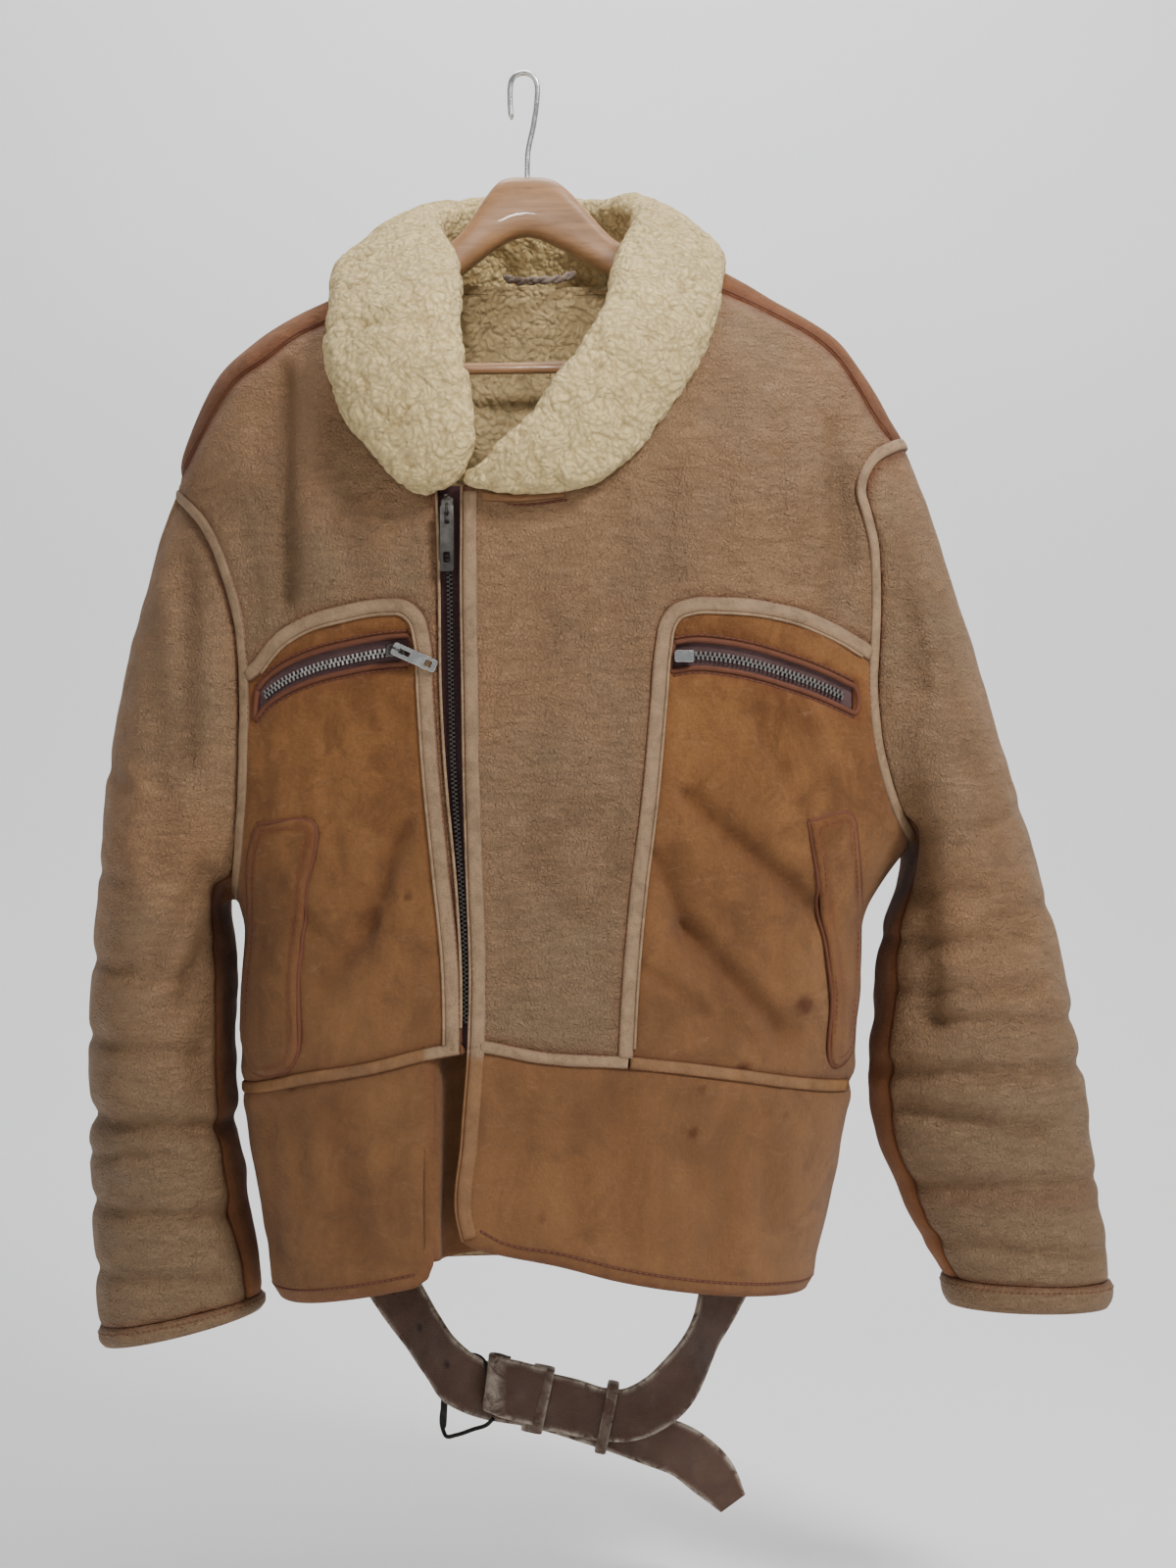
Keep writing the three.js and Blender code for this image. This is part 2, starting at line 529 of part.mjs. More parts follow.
const SLEEVE_LEFT = [
  { s: 0, ox: 262, oz: -252, ix: 272, iz: -522, deep: 74, hug: 1 },
  { s: 1, ox: 275, oz: -290, ix: 272, iz: -527, deep: 78, hug: 0.75 },
  { s: 2, ox: 288, oz: -337, ix: 270, iz: -533, deep: 82, hug: 0.5 },
  { s: 3, ox: 303, oz: -385, ix: 264, iz: -542, deep: 84, hug: 0.28 },
  { s: 4, ox: 318, oz: -437, ix: 257, iz: -554, deep: 83, hug: 0.12 },
  { s: 5, ox: 332, oz: -487, ix: 248, iz: -570, deep: 80, hug: 0 },
  { s: 6, ox: 348, oz: -542, ix: 241, iz: -594, deep: 75, hug: 0 },
  { s: 7, ox: 364, oz: -600, ix: 237, iz: -634, deep: 68, hug: 0 },
  { s: 8, ox: 375, oz: -655, ix: 232, iz: -677, deep: 60, hug: 0 },
  { s: 9, ox: 384, oz: -715, ix: 239, iz: -722, deep: 51, hug: 0 },
  { s: 10, ox: 391, oz: -765, ix: 256, iz: -765, deep: 45, hug: 0 },
  { s: 11, ox: 396, oz: -803, ix: 272, iz: -798, deep: 41, hug: 0 },
  { s: 12, ox: 399, oz: -822, ix: 282, iz: -818, deep: 39, hug: 0 },
  { s: 13, ox: 398, oz: -840, ix: 286, iz: -838, deep: 38, hug: 0 },
];
// Folds across the sleeves: place along the sleeve, middle and half spread round it in degrees, depth
const SLEEVE_FOLDS = [
  { s: 8.2, turn: 60, spread: 80, depth: 4, wide: 0.3 },
  { s: 9.3, turn: 90, spread: 90, depth: 5, wide: 0.28 },
  { s: 10.4, turn: 70, spread: 80, depth: 4, wide: 0.25 },
  { s: 11.4, turn: 60, spread: 70, depth: 3, wide: 0.25 },
];
const SLEEVE_ROUND = 16;    // points round a sleeve
const SLEEVE_STEPS = 1.3;   // rings for each row of the table
const SLEEVE_TOP = -0.3;    // the sleeve is made a little long at the top, and cut to the armhole
const HALF_SEAM_TURN = 0.6; // half a sleeve seam, in degrees
const CUFF_GAP = 0.025;     // the cuff seam, in rows
const SEAM_TURNS = [152, 250]; // seams of the under sleeve, in degrees from the outside, past the front
const CUFF_ROW = 12;

function armholePoint(rows, line, side, turn) {
  const first = rows[0];
  const z = (first.oz + first.iz) / 2 + ((first.oz - first.iz) / 2) * Math.cos(turn);
  const heights = line.map(([x, h]) => ({ z: h, x: x + side * TAPE_WIDTH / 2 }));
  const x = along(heights, 'z', 'x', z);
  return new THREE.Vector3(x, bodyDepth(x, z, Math.sin(turn) >= 0), z);
}

function sleevePoint(rows, line, side, s, turn, inset) {
  const at = (column) => along(rows, 's', column, s);
  const first = rows[0];
  const ring = (ox, oz, ix, iz, deep) => new THREE.Vector3(
    (ox + ix) / 2 + ((ox - ix) / 2) * Math.cos(turn),
    -deep * Math.sin(turn),
    (oz + iz) / 2 + ((oz - iz) / 2) * Math.cos(turn),
  );
  const point = ring(at('ox'), at('oz'), at('ix'), at('iz'), at('deep'));
  const hug = s <= 0 ? 1 : at('hug');
  if (hug > 0) {
    const plain = ring(first.ox, first.oz, first.ix, first.iz, first.deep);
    point.addScaledVector(armholePoint(rows, line, side, turn).sub(plain), hug);
  }
  const centre = new THREE.Vector3((at('ox') + at('ix')) / 2, 0, (at('oz') + at('iz')) / 2);
  const inwards = centre.clone().sub(point).normalize();
  let depth = inset;
  for (const fold of SLEEVE_FOLDS) {
    const round = THREE.MathUtils.radToDeg(turn) - fold.turn;
    const away = ((((round + 180) % 360) + 360) % 360 - 180) / fold.spread;
    depth += fold.depth * Math.exp(-(((s - fold.s) / fold.wide) ** 2) - away * away * 2);
  }
  return point.addScaledVector(inwards, depth);
}

// A sleeve piece between two turns and two places along the sleeve
function sleevePiece(rows, line, side, fromS, toS, fromTurn, toTurn, columns) {
  const radians = THREE.MathUtils.degToRad;
  const count = Math.round((toS - fromS) * SLEEVE_STEPS);
  const outer = [];
  const inner = [];
  for (let i = 0; i <= count; i += 1) {
    const s = fromS + ((toS - fromS) * i) / count;
    const turns = Array.from({ length: columns + 1 },
      (_, j) => radians(fromTurn + ((toTurn - fromTurn) * j) / columns));
    outer.push(turns.map((t) => sleevePoint(rows, line, side, s, t, 0)));
    inner.push(turns.map((t) => sleevePoint(rows, line, side, s, t, SLEEVE_SKIN)));
  }
  return sheetWall(outer, inner);
}

// A closed wall from two grids of points, with its four edges
function sheetWall(outer, inner) {
  const rings = outer.length;
  const round = outer[0].length;
  const points = [...outer.flat(), ...inner.flat()];
  const faces = [];
  const quad = (a, b, c, d) => faces.push(a, b, c, a, c, d);
  const at = (i, j, layer) => layer * rings * round + i * round + j;
  for (let i = 0; i < rings - 1; i += 1) {
    for (let j = 0; j < round - 1; j += 1) {
      quad(at(i, j, 0), at(i, j + 1, 0), at(i + 1, j + 1, 0), at(i + 1, j, 0));
      quad(at(i, j, 1), at(i + 1, j, 1), at(i + 1, j + 1, 1), at(i, j + 1, 1));
    }
    quad(at(i, 0, 1), at(i, 0, 0), at(i + 1, 0, 0), at(i + 1, 0, 1));
    quad(at(i, round - 1, 0), at(i, round - 1, 1), at(i + 1, round - 1, 1), at(i + 1, round - 1, 0));
  }
  for (let j = 0; j < round - 1; j += 1) {
    quad(at(0, j, 1), at(0, j + 1, 1), at(0, j + 1, 0), at(0, j, 0));
    quad(at(rings - 1, j, 0), at(rings - 1, j + 1, 0), at(rings - 1, j + 1, 1), at(rings - 1, j, 1));
  }
  return outward(toGeometry(points, faces));
}

function makeSleeve(name, rows, line, side) {
  const armpit = rows[0].iz;
  const region = armholeCutter(line, side, 1.5 * SEAM).add(block([-900, -REACH, -1200], [900, REACH, armpit - 6]));
  const [front, back] = SEAM_TURNS;
  const piece = (fromTurn, toTurn, columns) => largest(
    sleevePiece(rows, line, side, SLEEVE_TOP, CUFF_ROW, fromTurn, toTurn, columns).intersect(region));
  panels[`sleeve_${name}`] = piece(back - 360 + HALF_SEAM_TURN, front - HALF_SEAM_TURN, 12);
  panels[`under_sleeve_${name}`] = piece(front + HALF_SEAM_TURN, back - HALF_SEAM_TURN, 4);
  panels[`cuff_${name}`] = sleevePiece(rows, line, side, CUFF_ROW + CUFF_GAP, 13, -179.7, 179.7, SLEEVE_ROUND);
}

// Collar: one deep pad round the neck. i is its roll edge, o its outer edge, thick its thickness at each,
// and nx, ny, nz the way its fleece faces.
const COLLAR = [
  { ix: -30, iy: -118, iz: -274, ox: -51, oy: -118, oz: -300, ti: 20, to: 18, nx: 0, ny: -1, nz: 0 },
  { ix: -33, iy: -118, iz: -254, ox: -72, oy: -118, oz: -294, ti: 26, to: 20, nx: 0, ny: -1, nz: 0 },
  { ix: -36, iy: -116, iz: -236, ox: -95, oy: -114, oz: -272, ti: 30, to: 22, nx: 0, ny: -1, nz: 0 },
  { ix: -39, iy: -113, iz: -219, ox: -114, oy: -108, oz: -249, ti: 32, to: 24, nx: 0, ny: -1, nz: 0.1 },
  { ix: -42, iy: -106, iz: -196, ox: -124, oy: -96, oz: -218, ti: 34, to: 26, nx: 0, ny: -1, nz: 0.2 },
  { ix: -44, iy: -90, iz: -171, ox: -127, oy: -74, oz: -181, ti: 36, to: 28, nx: -0.1, ny: -1, nz: 0.4 },
  { ix: -47, iy: -62, iz: -140, ox: -127, oy: -42, oz: -156, ti: 36, to: 30, nx: -0.2, ny: -0.8, nz: 0.7 },
  { ix: -62, iy: -22, iz: -108, ox: -125, oy: -8, oz: -143, ti: 34, to: 30, nx: -0.4, ny: -0.2, nz: 0.9 },
  { ix: -62, iy: 22, iz: -88, ox: -118, oy: 38, oz: -142, ti: 34, to: 30, nx: -0.5, ny: 0.4, nz: 0.7 },
  { ix: -44, iy: 58, iz: -75, ox: -88, oy: 84, oz: -146, ti: 34, to: 28, nx: -0.4, ny: 0.8, nz: 0.4 },
  { ix: -16, iy: 72, iz: -70, ox: -40, oy: 106, oz: -150, ti: 34, to: 28, nx: -0.1, ny: 1, nz: 0.3 },
  { ix: 16, iy: 74, iz: -70, ox: 24, oy: 109, oz: -150, ti: 34, to: 28, nx: 0, ny: 1, nz: 0.3 },
  { ix: 48, iy: 62, iz: -72, ox: 82, oy: 94, oz: -146, ti: 34, to: 28, nx: 0.3, ny: 0.9, nz: 0.3 },
  { ix: 72, iy: 32, iz: -78, ox: 120, oy: 52, oz: -138, ti: 34, to: 30, nx: 0.5, ny: 0.5, nz: 0.7 },
  { ix: 76, iy: -10, iz: -98, ox: 130, oy: 4, oz: -134, ti: 34, to: 30, nx: 0.5, ny: 0, nz: 0.9 },
  { ix: 65, iy: -48, iz: -126, ox: 130, oy: -32, oz: -142, ti: 36, to: 30, nx: 0.2, ny: -0.6, nz: 0.8 },
  { ix: 59, iy: -76, iz: -152, ox: 127, oy: -58, oz: -164, ti: 36, to: 28, nx: 0.1, ny: -0.9, nz: 0.5 },
  { ix: 53, iy: -98, iz: -178, ox: 119, oy: -84, oz: -192, ti: 34, to: 26, nx: 0, ny: -1, nz: 0.3 },
  { ix: 42, iy: -109, iz: -198, ox: 106, oy: -100, oz: -221, ti: 34, to: 24, nx: 0, ny: -1, nz: 0.15 },
  { ix: 28, iy: -114, iz: -219, ox: 87, oy: -109, oz: -249, ti: 32, to: 22, nx: 0, ny: -1, nz: 0 },
  { ix: 12, iy: -117, iz: -244, ox: 61, oy: -115, oz: -278, ti: 30, to: 21, nx: 0, ny: -1, nz: 0 },
  { ix: -6, iy: -118, iz: -264, ox: 27, oy: -118, oz: -296, ti: 28, to: 20, nx: 0, ny: -1, nz: 0 },
  { ix: -26, iy: -118, iz: -275, ox: -44, oy: -118, oz: -300, ti: 22, to: 18, nx: 0, ny: -1, nz: 0 },
];
const COLLAR_ROUND = 12;
const COLLAR_SQUARENESS = 2.6;

function collarRing(row, steps) {
  const inner = new THREE.Vector3(row.ix, row.iy, row.iz);
  const outer = new THREE.Vector3(row.ox, row.oy, row.oz);
  const half = outer.clone().sub(inner).divideScalar(2);
  const middle = inner.clone().add(half);
  const facing = new THREE.Vector3(row.nx, row.ny, row.nz).normalize();
  facing.addScaledVector(half, -facing.dot(half) / half.lengthSq()).normalize();
  const power = 2 / COLLAR_SQUARENESS;
  return Array.from({ length: steps }, (_, j) => {
    const turn = (2 * Math.PI * j) / steps;
    const c = Math.sign(Math.cos(turn)) * Math.abs(Math.cos(turn)) ** power;
    const s = Math.sign(Math.sin(turn)) * Math.abs(Math.sin(turn)) ** power;
    const thick = row.ti + (row.to - row.ti) * (c + 1) / 2;
    return middle.clone().addScaledVector(half, c).addScaledVector(facing, (s * thick) / 2);
  });
}

function makeCollar() {
  const pad = loft(COLLAR.map((row) => collarRing(row, COLLAR_ROUND)));
  const overTapes = bodyCore(SEAM + TAPE + SEAM).intersect(block([-60, -REACH, -340], [40, 0, -284]));
  panels.collar = largest(pad.subtract(bodyCore(SEAM)).subtract(overTapes));
}

// Belt: two straps sewn into the waist seam at the back, buckled below the hem.
// Each row is the middle of the strap and its width, with the way the width runs.
// A row with off lies along the back, that far out from it.
const STRAP = 3.4;
const BUCKLE_WIRE = 1.7;
const HOLE_STRAP = [
  { x: -135, z: -690, off: 4, wide: 38 },
  { x: -133, z: -735, off: 8, wide: 38 },
  { x: -127, z: -780, off: 12, wide: 38 },
  { x: -116, y: 112, z: -822, wx: 0.9, wy: 0.2, wz: 0.2, wide: 38 },
  { x: -100, y: 106, z: -848, wx: 0.7, wy: 0, wz: 0.5, wide: 38 },
  { x: -74, y: 88, z: -880, wx: 0.5, wy: -0.35, wz: 0.7, wide: 39 },
  { x: -50, y: 75, z: -905, wx: 0.35, wy: -0.15, wz: 0.85, wide: 40 },
  { x: -30, y: 71, z: -916, wx: 0.25, wy: 0, wz: 1, wide: 40 },
  { x: 0, y: 71, z: -920, wx: 0.15, wy: 0, wz: 1, wide: 40 },
  { x: 30, y: 71, z: -927, wx: 0.22, wy: 0, wz: 1, wide: 40 },
  { x: 58, y: 71, z: -936, wx: 0.32, wy: 0, wz: 1, wide: 40 },
  { x: 85, y: 72, z: -949, wx: 0.45, wy: 0, wz: 1, wide: 38 },
  { x: 112, y: 74, z: -962, wx: 0.6, wy: 0, wz: 1, wide: 37 },
  { x: 130, y: 76, z: -978, wx: 1, wy: 0, wz: 0.8, wide: 35 },
  { x: 145, y: 78, z: -998, wx: 1, wy: 0, wz: 0.35, wide: 22 },
];
const BUCKLE_STRAP = [
  { x: 168, z: -690, off: 5.5, wide: 38 },
  { x: 165, z: -735, off: 9.5, wide: 38 },
  { x: 158, z: -780, off: 13.5, wide: 38 },
  { x: 150, y: 103, z: -822, wx: 0.9, wy: -0.2, wz: -0.1, wide: 38 },
  { x: 138, y: 96, z: -852, wx: 0.6, wy: 0.3, wz: -0.2, wide: 38 },
  { x: 126, y: 82, z: -876, wx: 0.5, wy: 0.6, wz: -0.4, wide: 38 },
  { x: 112, y: 70, z: -899, wx: 0.35, wy: 0.3, wz: -0.8, wide: 38 },
  { x: 94, y: 66, z: -920, wx: 0.25, wy: 0, wz: -1, wide: 38 },
  { x: 68, y: 65, z: -932, wx: -0.1, wy: 0, wz: -1, wide: 38 },
  { x: 50, y: 65, z: -931, wx: -0.22, wy: 0, wz: -1, wide: 38 },
  { x: 30, y: 65, z: -926, wx: -0.22, wy: 0, wz: -1, wide: 40 },
  { x: 0, y: 65, z: -919, wx: -0.2, wy: 0, wz: -1, wide: 40 },
  { x: -17.5, y: 65, z: -913, wx: -0.2, wy: 0, wz: -1, wide: 38 },
];
const STRAPS_Y = 68;        // middle depth of the two straps where they lie on each other
const STRAPS_DEEP = 10.8;   // room for both

// Fills in the depth and the width's way of rows that lie along the back
function strapRows(rows) {
  return rows.map((row) => {
    if (row.off === undefined) return row;
    const half = row.wide / 2;
    const near = bodyDepth(row.x - half, row.z, false);
    const far = bodyDepth(row.x + half, row.z, false);
    const y = (near + far) / 2 + row.off;
    return { ...row, y, wx: row.wide, wy: far - near, wz: 0 };
  });
}

function ribbon(rows, thick) {
  const places = rows.map((r) => new THREE.Vector3(r.x, r.y, r.z));
  return loft(rows.map((r, i) => {
    const before = places[Math.max(0, i - 1)];
    const after = places[Math.min(places.length - 1, i + 1)];
    const forwards = after.clone().sub(before).normalize();
    const across = new THREE.Vector3(r.wx, r.wy, r.wz);
    across.addScaledVector(forwards, -across.dot(forwards)).normalize();
    const up = forwards.clone().cross(across).normalize();
    const corner = (a, b) => places[i].clone()
      .addScaledVector(across, (a * r.wide) / 2)
      .addScaledVector(up, (b * thick) / 2);
    return [corner(-1, -1), corner(1, -1), corner(1, 1), corner(-1, 1)];
  }));
}

// A round bar along a line of points
function rod(points, radius, sides, pitch = radius * 3.6) {
  const curve = new THREE.CatmullRomCurve3(points.map((p) => new THREE.Vector3(...p)), false, 'centripetal');
  const shape = new THREE.Shape(Array.from({ length: sides }, (_, i) => new THREE.Vector2(
    radius * Math.cos((2 * Math.PI * i) / sides), radius * Math.sin((2 * Math.PI * i) / sides))));
  const steps = Math.max(2, Math.round(curve.getLength() / pitch));
  const geometry = new THREE.ExtrudeGeometry(shape, { steps, extrudePath: curve, bevelEnabled: false });
  return outward(indexed(geometry));
}

function indexed(geometry) {
  geometry.deleteAttribute('normal');
  geometry.deleteAttribute('uv');
  return mergeVertices(geometry, 1e-4);
}

// A rectangular loop round both straps, as a keeper is
function keeper({ x, z, tall, wide, lean, thick }) {
  const around = plateOn([x, STRAPS_Y, z], [wide, STRAPS_DEEP + 2 * thick, tall + 2 * thick], lean);
  return around.subtract(plateOn([x, STRAPS_Y, z], [wide + 2, STRAPS_DEEP, tall], lean));
}

function makeBelt() {
  panels.belt_hole_strap = ribbon(strapRows(HOLE_STRAP), STRAP);
  panels.belt_buckle_strap = ribbon(strapRows(BUCKLE_STRAP), STRAP);
  panels.belt_fixed_keeper = keeper({ x: 6, z: -921, tall: 43.5, wide: 15, lean: 0.21, thick: 1.6 });
  panels.belt_loose_keeper = keeper({ x: 55, z: -934, tall: 45.5, wide: 9, lean: 0.2, thick: 2 });
  const y = STRAPS_Y - 3;
  panels.belt_buckle = rod([[-25.5, y, -933], [-30.2, y, -912], [-35.5, y, -890.5], [-39.5, y, -889], [-50, y, -898],
    [-59, y, -911], [-60.5, y, -920], [-61.5, y, -942], [-59, y, -947], [-52, y, -946], [-40, y, -942],
    [-27.2, y, -939]], BUCKLE_WIRE, 8, 8);
}

// Hanger
const WOOD = [
  { x: -204, y: -6, z: -216, high: 9, deep: 14 },
  { x: -190, y: -8, z: -208, high: 13, deep: 20 },
  { x: -150, y: -6, z: -187, high: 14, deep: 22 },
  { x: -100, y: -2, z: -161, high: 13, deep: 18 },
  { x: -75, y: 0, z: -141, high: 13, deep: 15 },
  { x: -46, y: 0, z: -123, high: 14, deep: 13 },
  { x: -19, y: 0, z: -95, high: 22, deep: 12 },
  { x: 0, y: 0, z: -90, high: 20, deep: 12 },
  { x: 20, y: 0, z: -95, high: 22, deep: 12 },
  { x: 60, y: 0, z: -126, high: 13, deep: 13 },
  { x: 105, y: -2, z: -147, high: 13, deep: 18 },
  { x: 155, y: -6, z: -174, high: 14, deep: 22 },
  { x: 196, y: -8, z: -198, high: 13, deep: 20 },
  { x: 210, y: -6, z: -207, high: 9, deep: 14 },
];
const WOOD_ROUND = 12;
const BAR_RADIUS = 4;
const WIRE = 1.9;

function makeHanger() {
  const power = 2 / 3;
  const rings = WOOD.map((row) => Array.from({ length: WOOD_ROUND }, (_, j) => {
    const turn = (2 * Math.PI * (j + 0.5)) / WOOD_ROUND;
    const c = Math.sign(Math.cos(turn)) * Math.abs(Math.cos(turn)) ** power;
    const s = Math.sign(Math.sin(turn)) * Math.abs(Math.sin(turn)) ** power;
    return new THREE.Vector3(row.x, row.y + row.deep * c, row.z + row.high * s);
  }));
  const core = bodyCore(-SKIN - 2 * SEAM).add(block([-83, -40, -121], [86, 26, 0]));
  const socket = rod([[0, 0, -88], [0, 0, -60]], WIRE + SEAM, 12);
  panels.hanger_wood = largest(loft(rings).intersect(core).subtract(socket));
  const bar = rod([[-192, -8, -204], [0, -8, -201], [192, -8, -198]], BAR_RADIUS, 10, 120);
  panels.hanger_bar = largest(bar.intersect(core));
  const drill = rod([[-195, -8, -204.1], [0, -8, -201], [195, -8, -197.9]], BAR_RADIUS + SEAM, 10, 120);
  panels.hanger_wood = panels.hanger_wood.subtract(drill);
  const hook = [[0, 0, -86], [0, 0, -66], [0.3, 0, -54], [4.6, 0, -32], [6.6, 0, -16]];
  const bend = 9.2;
  for (let i = 0; i <= 8; i += 1) {
    const turn = (Math.PI * i) / 8;
    hook.push([-2.4 + bend * Math.cos(turn), 0, -7.2 + bend * Math.sin(turn)]);
  }
  hook.push([-11.8, 0, -16], [-11.4, 0, -24], [-10.6, 0, -30]);
  panels.hanger_hook = rod(hook, WIRE, 8, 5.4);
}

const LOOP_RADIUS = 3.2;

// The hanging loop inside the back neck
function makeLoop() {
  const path = [[-17, 54, -127], [-10, 50, -130], [7, 48, -130], [24, 50, -128], [32, 53, -124]];
  panels.hanging_loop = rod(path, LOOP_RADIUS, 8);
}

// Sliders and pull tabs
function plateOn(place, size, lean) {
  const geometry = new THREE.BoxGeometry(...size);
  geometry.rotateY(lean);
  geometry.translate(...place);
  return toSolid(geometry);
}

// A plate placed from a tab's hinge: x across the tab, y towards the cloth, z up the tab, then turned to its lie
function fromHinge(pull, size, offset) {
  const geometry = new THREE.BoxGeometry(...size);
  geometry.translate(...offset);
  geometry.rotateY(pull.turn);
  geometry.translate(pull.x, pull.y, pull.z);
  return toSolid(geometry);
}

const CHAIN_TOP = 0;        // a slider's underside, just above the teeth
const SLIDER_THICK = 3.4;
const TAB_THICK = 1.6;
const TAB_LIFT = 7.4;       // a tab's middle, out from the cloth
const BAIL = 2.2;
// turn lays the tab: 0 hangs straight down
const MAIN_PULL = { x: -48.5, z: -308.5, turn: 0, long: 42, wide: 8.5 };
const POCKET_PULL = { x: -81, z: -398, turn: -1.15, long: 30, wide: 8 };

// The tab hangs on its hinge by the bridge above its slot, and the slider's bail hooks round the bridge
function makePull(slider, name, pull) {
  const cloth = bodyDepth(pull.x, pull.z, true);
  const at = { ...pull, y: cloth - TAB_LIFT };
  const tab = fromHinge(at, [pull.wide, TAB_THICK, pull.long], [0, 0, 2 - pull.long / 2]);
  panels[name] = tab.subtract(fromHinge(at, [BAIL + 1.4, 4, 8], [0, 0, -6]));
  const head = TAB_THICK / 2 + SEAM + 0.6;
  const stemLong = TAB_LIFT - SLIDER_THICK + CHAIN_TOP + head + 1;
  const stem = fromHinge(at, [BAIL, stemLong, BAIL], [0, stemLong / 2 - head - 0.6, -3.4]);
  const hook = fromHinge(at, [BAIL, 1.2, 3.5], [0, -head, -3.85]);
  panels[slider] = panels[slider].add(stem).add(hook);
}

function makeSliders() {
  const lay = (x, z, size, lean) => {
    const y = bodyDepth(x, z, true) + CHAIN_TOP - SLIDER_THICK / 2;
    return plateOn([x, y, z], [size[0], SLIDER_THICK, size[1]], lean);
  };
  panels.main_slider = lay(-48.5, -309, [8.6, 16], 0);
  panels.pocket_slider_right = lay(-81.5, -399, [13, 8.5], 0.1);
  panels.pocket_slider_left = lay(103.2, -402.5, [13, 8.5], 0);
  makePull('main_slider', 'main_pull', MAIN_PULL);
  makePull('pocket_slider_right', 'pocket_pull_right', POCKET_PULL);
  const y = bodyDepth(101, -403, true) + CHAIN_TOP - SLIDER_THICK - SEAM - TAB_THICK / 2;
  panels.pocket_pull_left = plateOn([103, y, -402.5], [12, TAB_THICK, 7], 0);
}

const FINISH = {
  collar: 'fleece', main_zip: 'zipTape', pocket_zip_right: 'zipTape', pocket_zip_left: 'zipTape',
  belt_hole_strap: 'belt', belt_buckle_strap: 'belt', belt_fixed_keeper: 'belt', belt_loose_keeper: 'belt',
  belt_buckle: 'metal', hanger_wood: 'wood', hanger_bar: 'wood', hanger_hook: 'chrome', hanging_loop: 'belt',
  main_slider: 'metal', main_pull: 'metal', pocket_slider_right: 'metal', pocket_slider_left: 'metal',
  pocket_pull_right: 'chrome', pocket_pull_left: 'metal', sleeve_right: 'leather', sleeve_left: 'leather',
  under_sleeve_right: 'suede', under_sleeve_left: 'suede', cuff_right: 'leather', cuff_left: 'leather',
};

function finishOf(name) {
  return PANEL_PLACES[name]?.finish ?? FINISH[name] ?? (name.startsWith('welt') ? 'suede' : 'tape');
}

function addMeshes(group) {
  for (const [name, solid] of Object.entries({ ...panels, ...tapes })) {
    const [color, roughness, metalness] = COLOURS[finishOf(name)];
    const mesh = new THREE.Mesh(solidMesh(solid), new THREE.MeshStandardMaterial({ color, roughness, metalness }));
    mesh.name = name;
    group.add(mesh);
  }
}

namePanels(makePanels());
panels.hem_band_right = panels.hem_band_right.add(underlap());
makeTapes();
makeZips();
makeSleeve('right', SLEEVE_RIGHT, ARMHOLE_RIGHT, -1);
makeSleeve('left', SLEEVE_LEFT, ARMHOLE_LEFT, 1);
makeCollar();
makeBelt();
makeHanger();
makeLoop();
makeSliders();

const jacket = new THREE.Group();
addMeshes(jacket);
export default jacket;
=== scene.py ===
"""Sheepskin flying jacket, zipped part way, on a contoured wooden hanger.

Shapes are worked out in millimetres from the tables below, +Z up, front towards -Y and the wearer's left
towards +X, and are made metres as they go into a mesh. The origin is the seat of the hanger's hook.
"""

import bmesh
import bpy
import numpy as np
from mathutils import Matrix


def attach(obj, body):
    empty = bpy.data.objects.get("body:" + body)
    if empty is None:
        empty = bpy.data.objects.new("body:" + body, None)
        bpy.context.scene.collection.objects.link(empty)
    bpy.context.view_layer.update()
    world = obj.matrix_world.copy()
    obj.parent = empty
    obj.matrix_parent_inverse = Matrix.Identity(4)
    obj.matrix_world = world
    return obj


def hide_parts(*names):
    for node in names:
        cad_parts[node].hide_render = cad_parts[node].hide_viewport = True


bl_info = {
    "name": "Sheepskin flying jacket",
    "version": (1, 0, 0),
    "blender": (4, 5, 0),
    "location": "3D View > Sidebar > Jacket",
    "description": "Makes a sheepskin flying jacket on its hanger around a packed frame",
    "category": "Add Mesh",
}

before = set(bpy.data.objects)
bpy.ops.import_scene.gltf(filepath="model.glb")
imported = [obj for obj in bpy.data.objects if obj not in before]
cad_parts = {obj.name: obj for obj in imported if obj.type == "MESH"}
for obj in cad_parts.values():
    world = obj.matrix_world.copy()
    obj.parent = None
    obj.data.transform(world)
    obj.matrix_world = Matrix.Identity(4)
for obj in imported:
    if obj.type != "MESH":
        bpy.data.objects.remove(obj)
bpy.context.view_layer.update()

MM = 0.001
TAU = 2 * np.pi
JACKET = "jacket"

# The body form
SQUARENESS = 2.3
FORM_TOP = -104.5
FORM_FOOT = -850
CLOTH_FOOT = -834
CLOTH_TALL = 730
SEAM = 0.3
PROBE = 0.5
TAPE_WIDTH = 10.5
NARROW_TAPE = 8.5
BODY_Z = [
    -104, -130, -157, -180, -206, -240, -270, -330, -420, -505, -530, -568, -620, -690, -760, -833, -850]
BODY = {
    "left": [-40, -84, -134, -180, -209, -225, -235, -236, -230, -224, -215, -194,
             -193, -192, -182, -169, -167],
    "right": [68, 122, 167, 206, 228, 248, 264, 272, 270, 269, 256, 233,
              228, 220, 208, 190, 187],
    "front": [22, 45, 64, 78, 90, 100, 106, 112, 115, 116, 117, 117,
              118, 118, 120, 122, 122],
    "back": [44, 70, 80, 86, 90, 94, 97, 102, 106, 108, 109, 110,
             111, 112, 116, 118, 118],
}

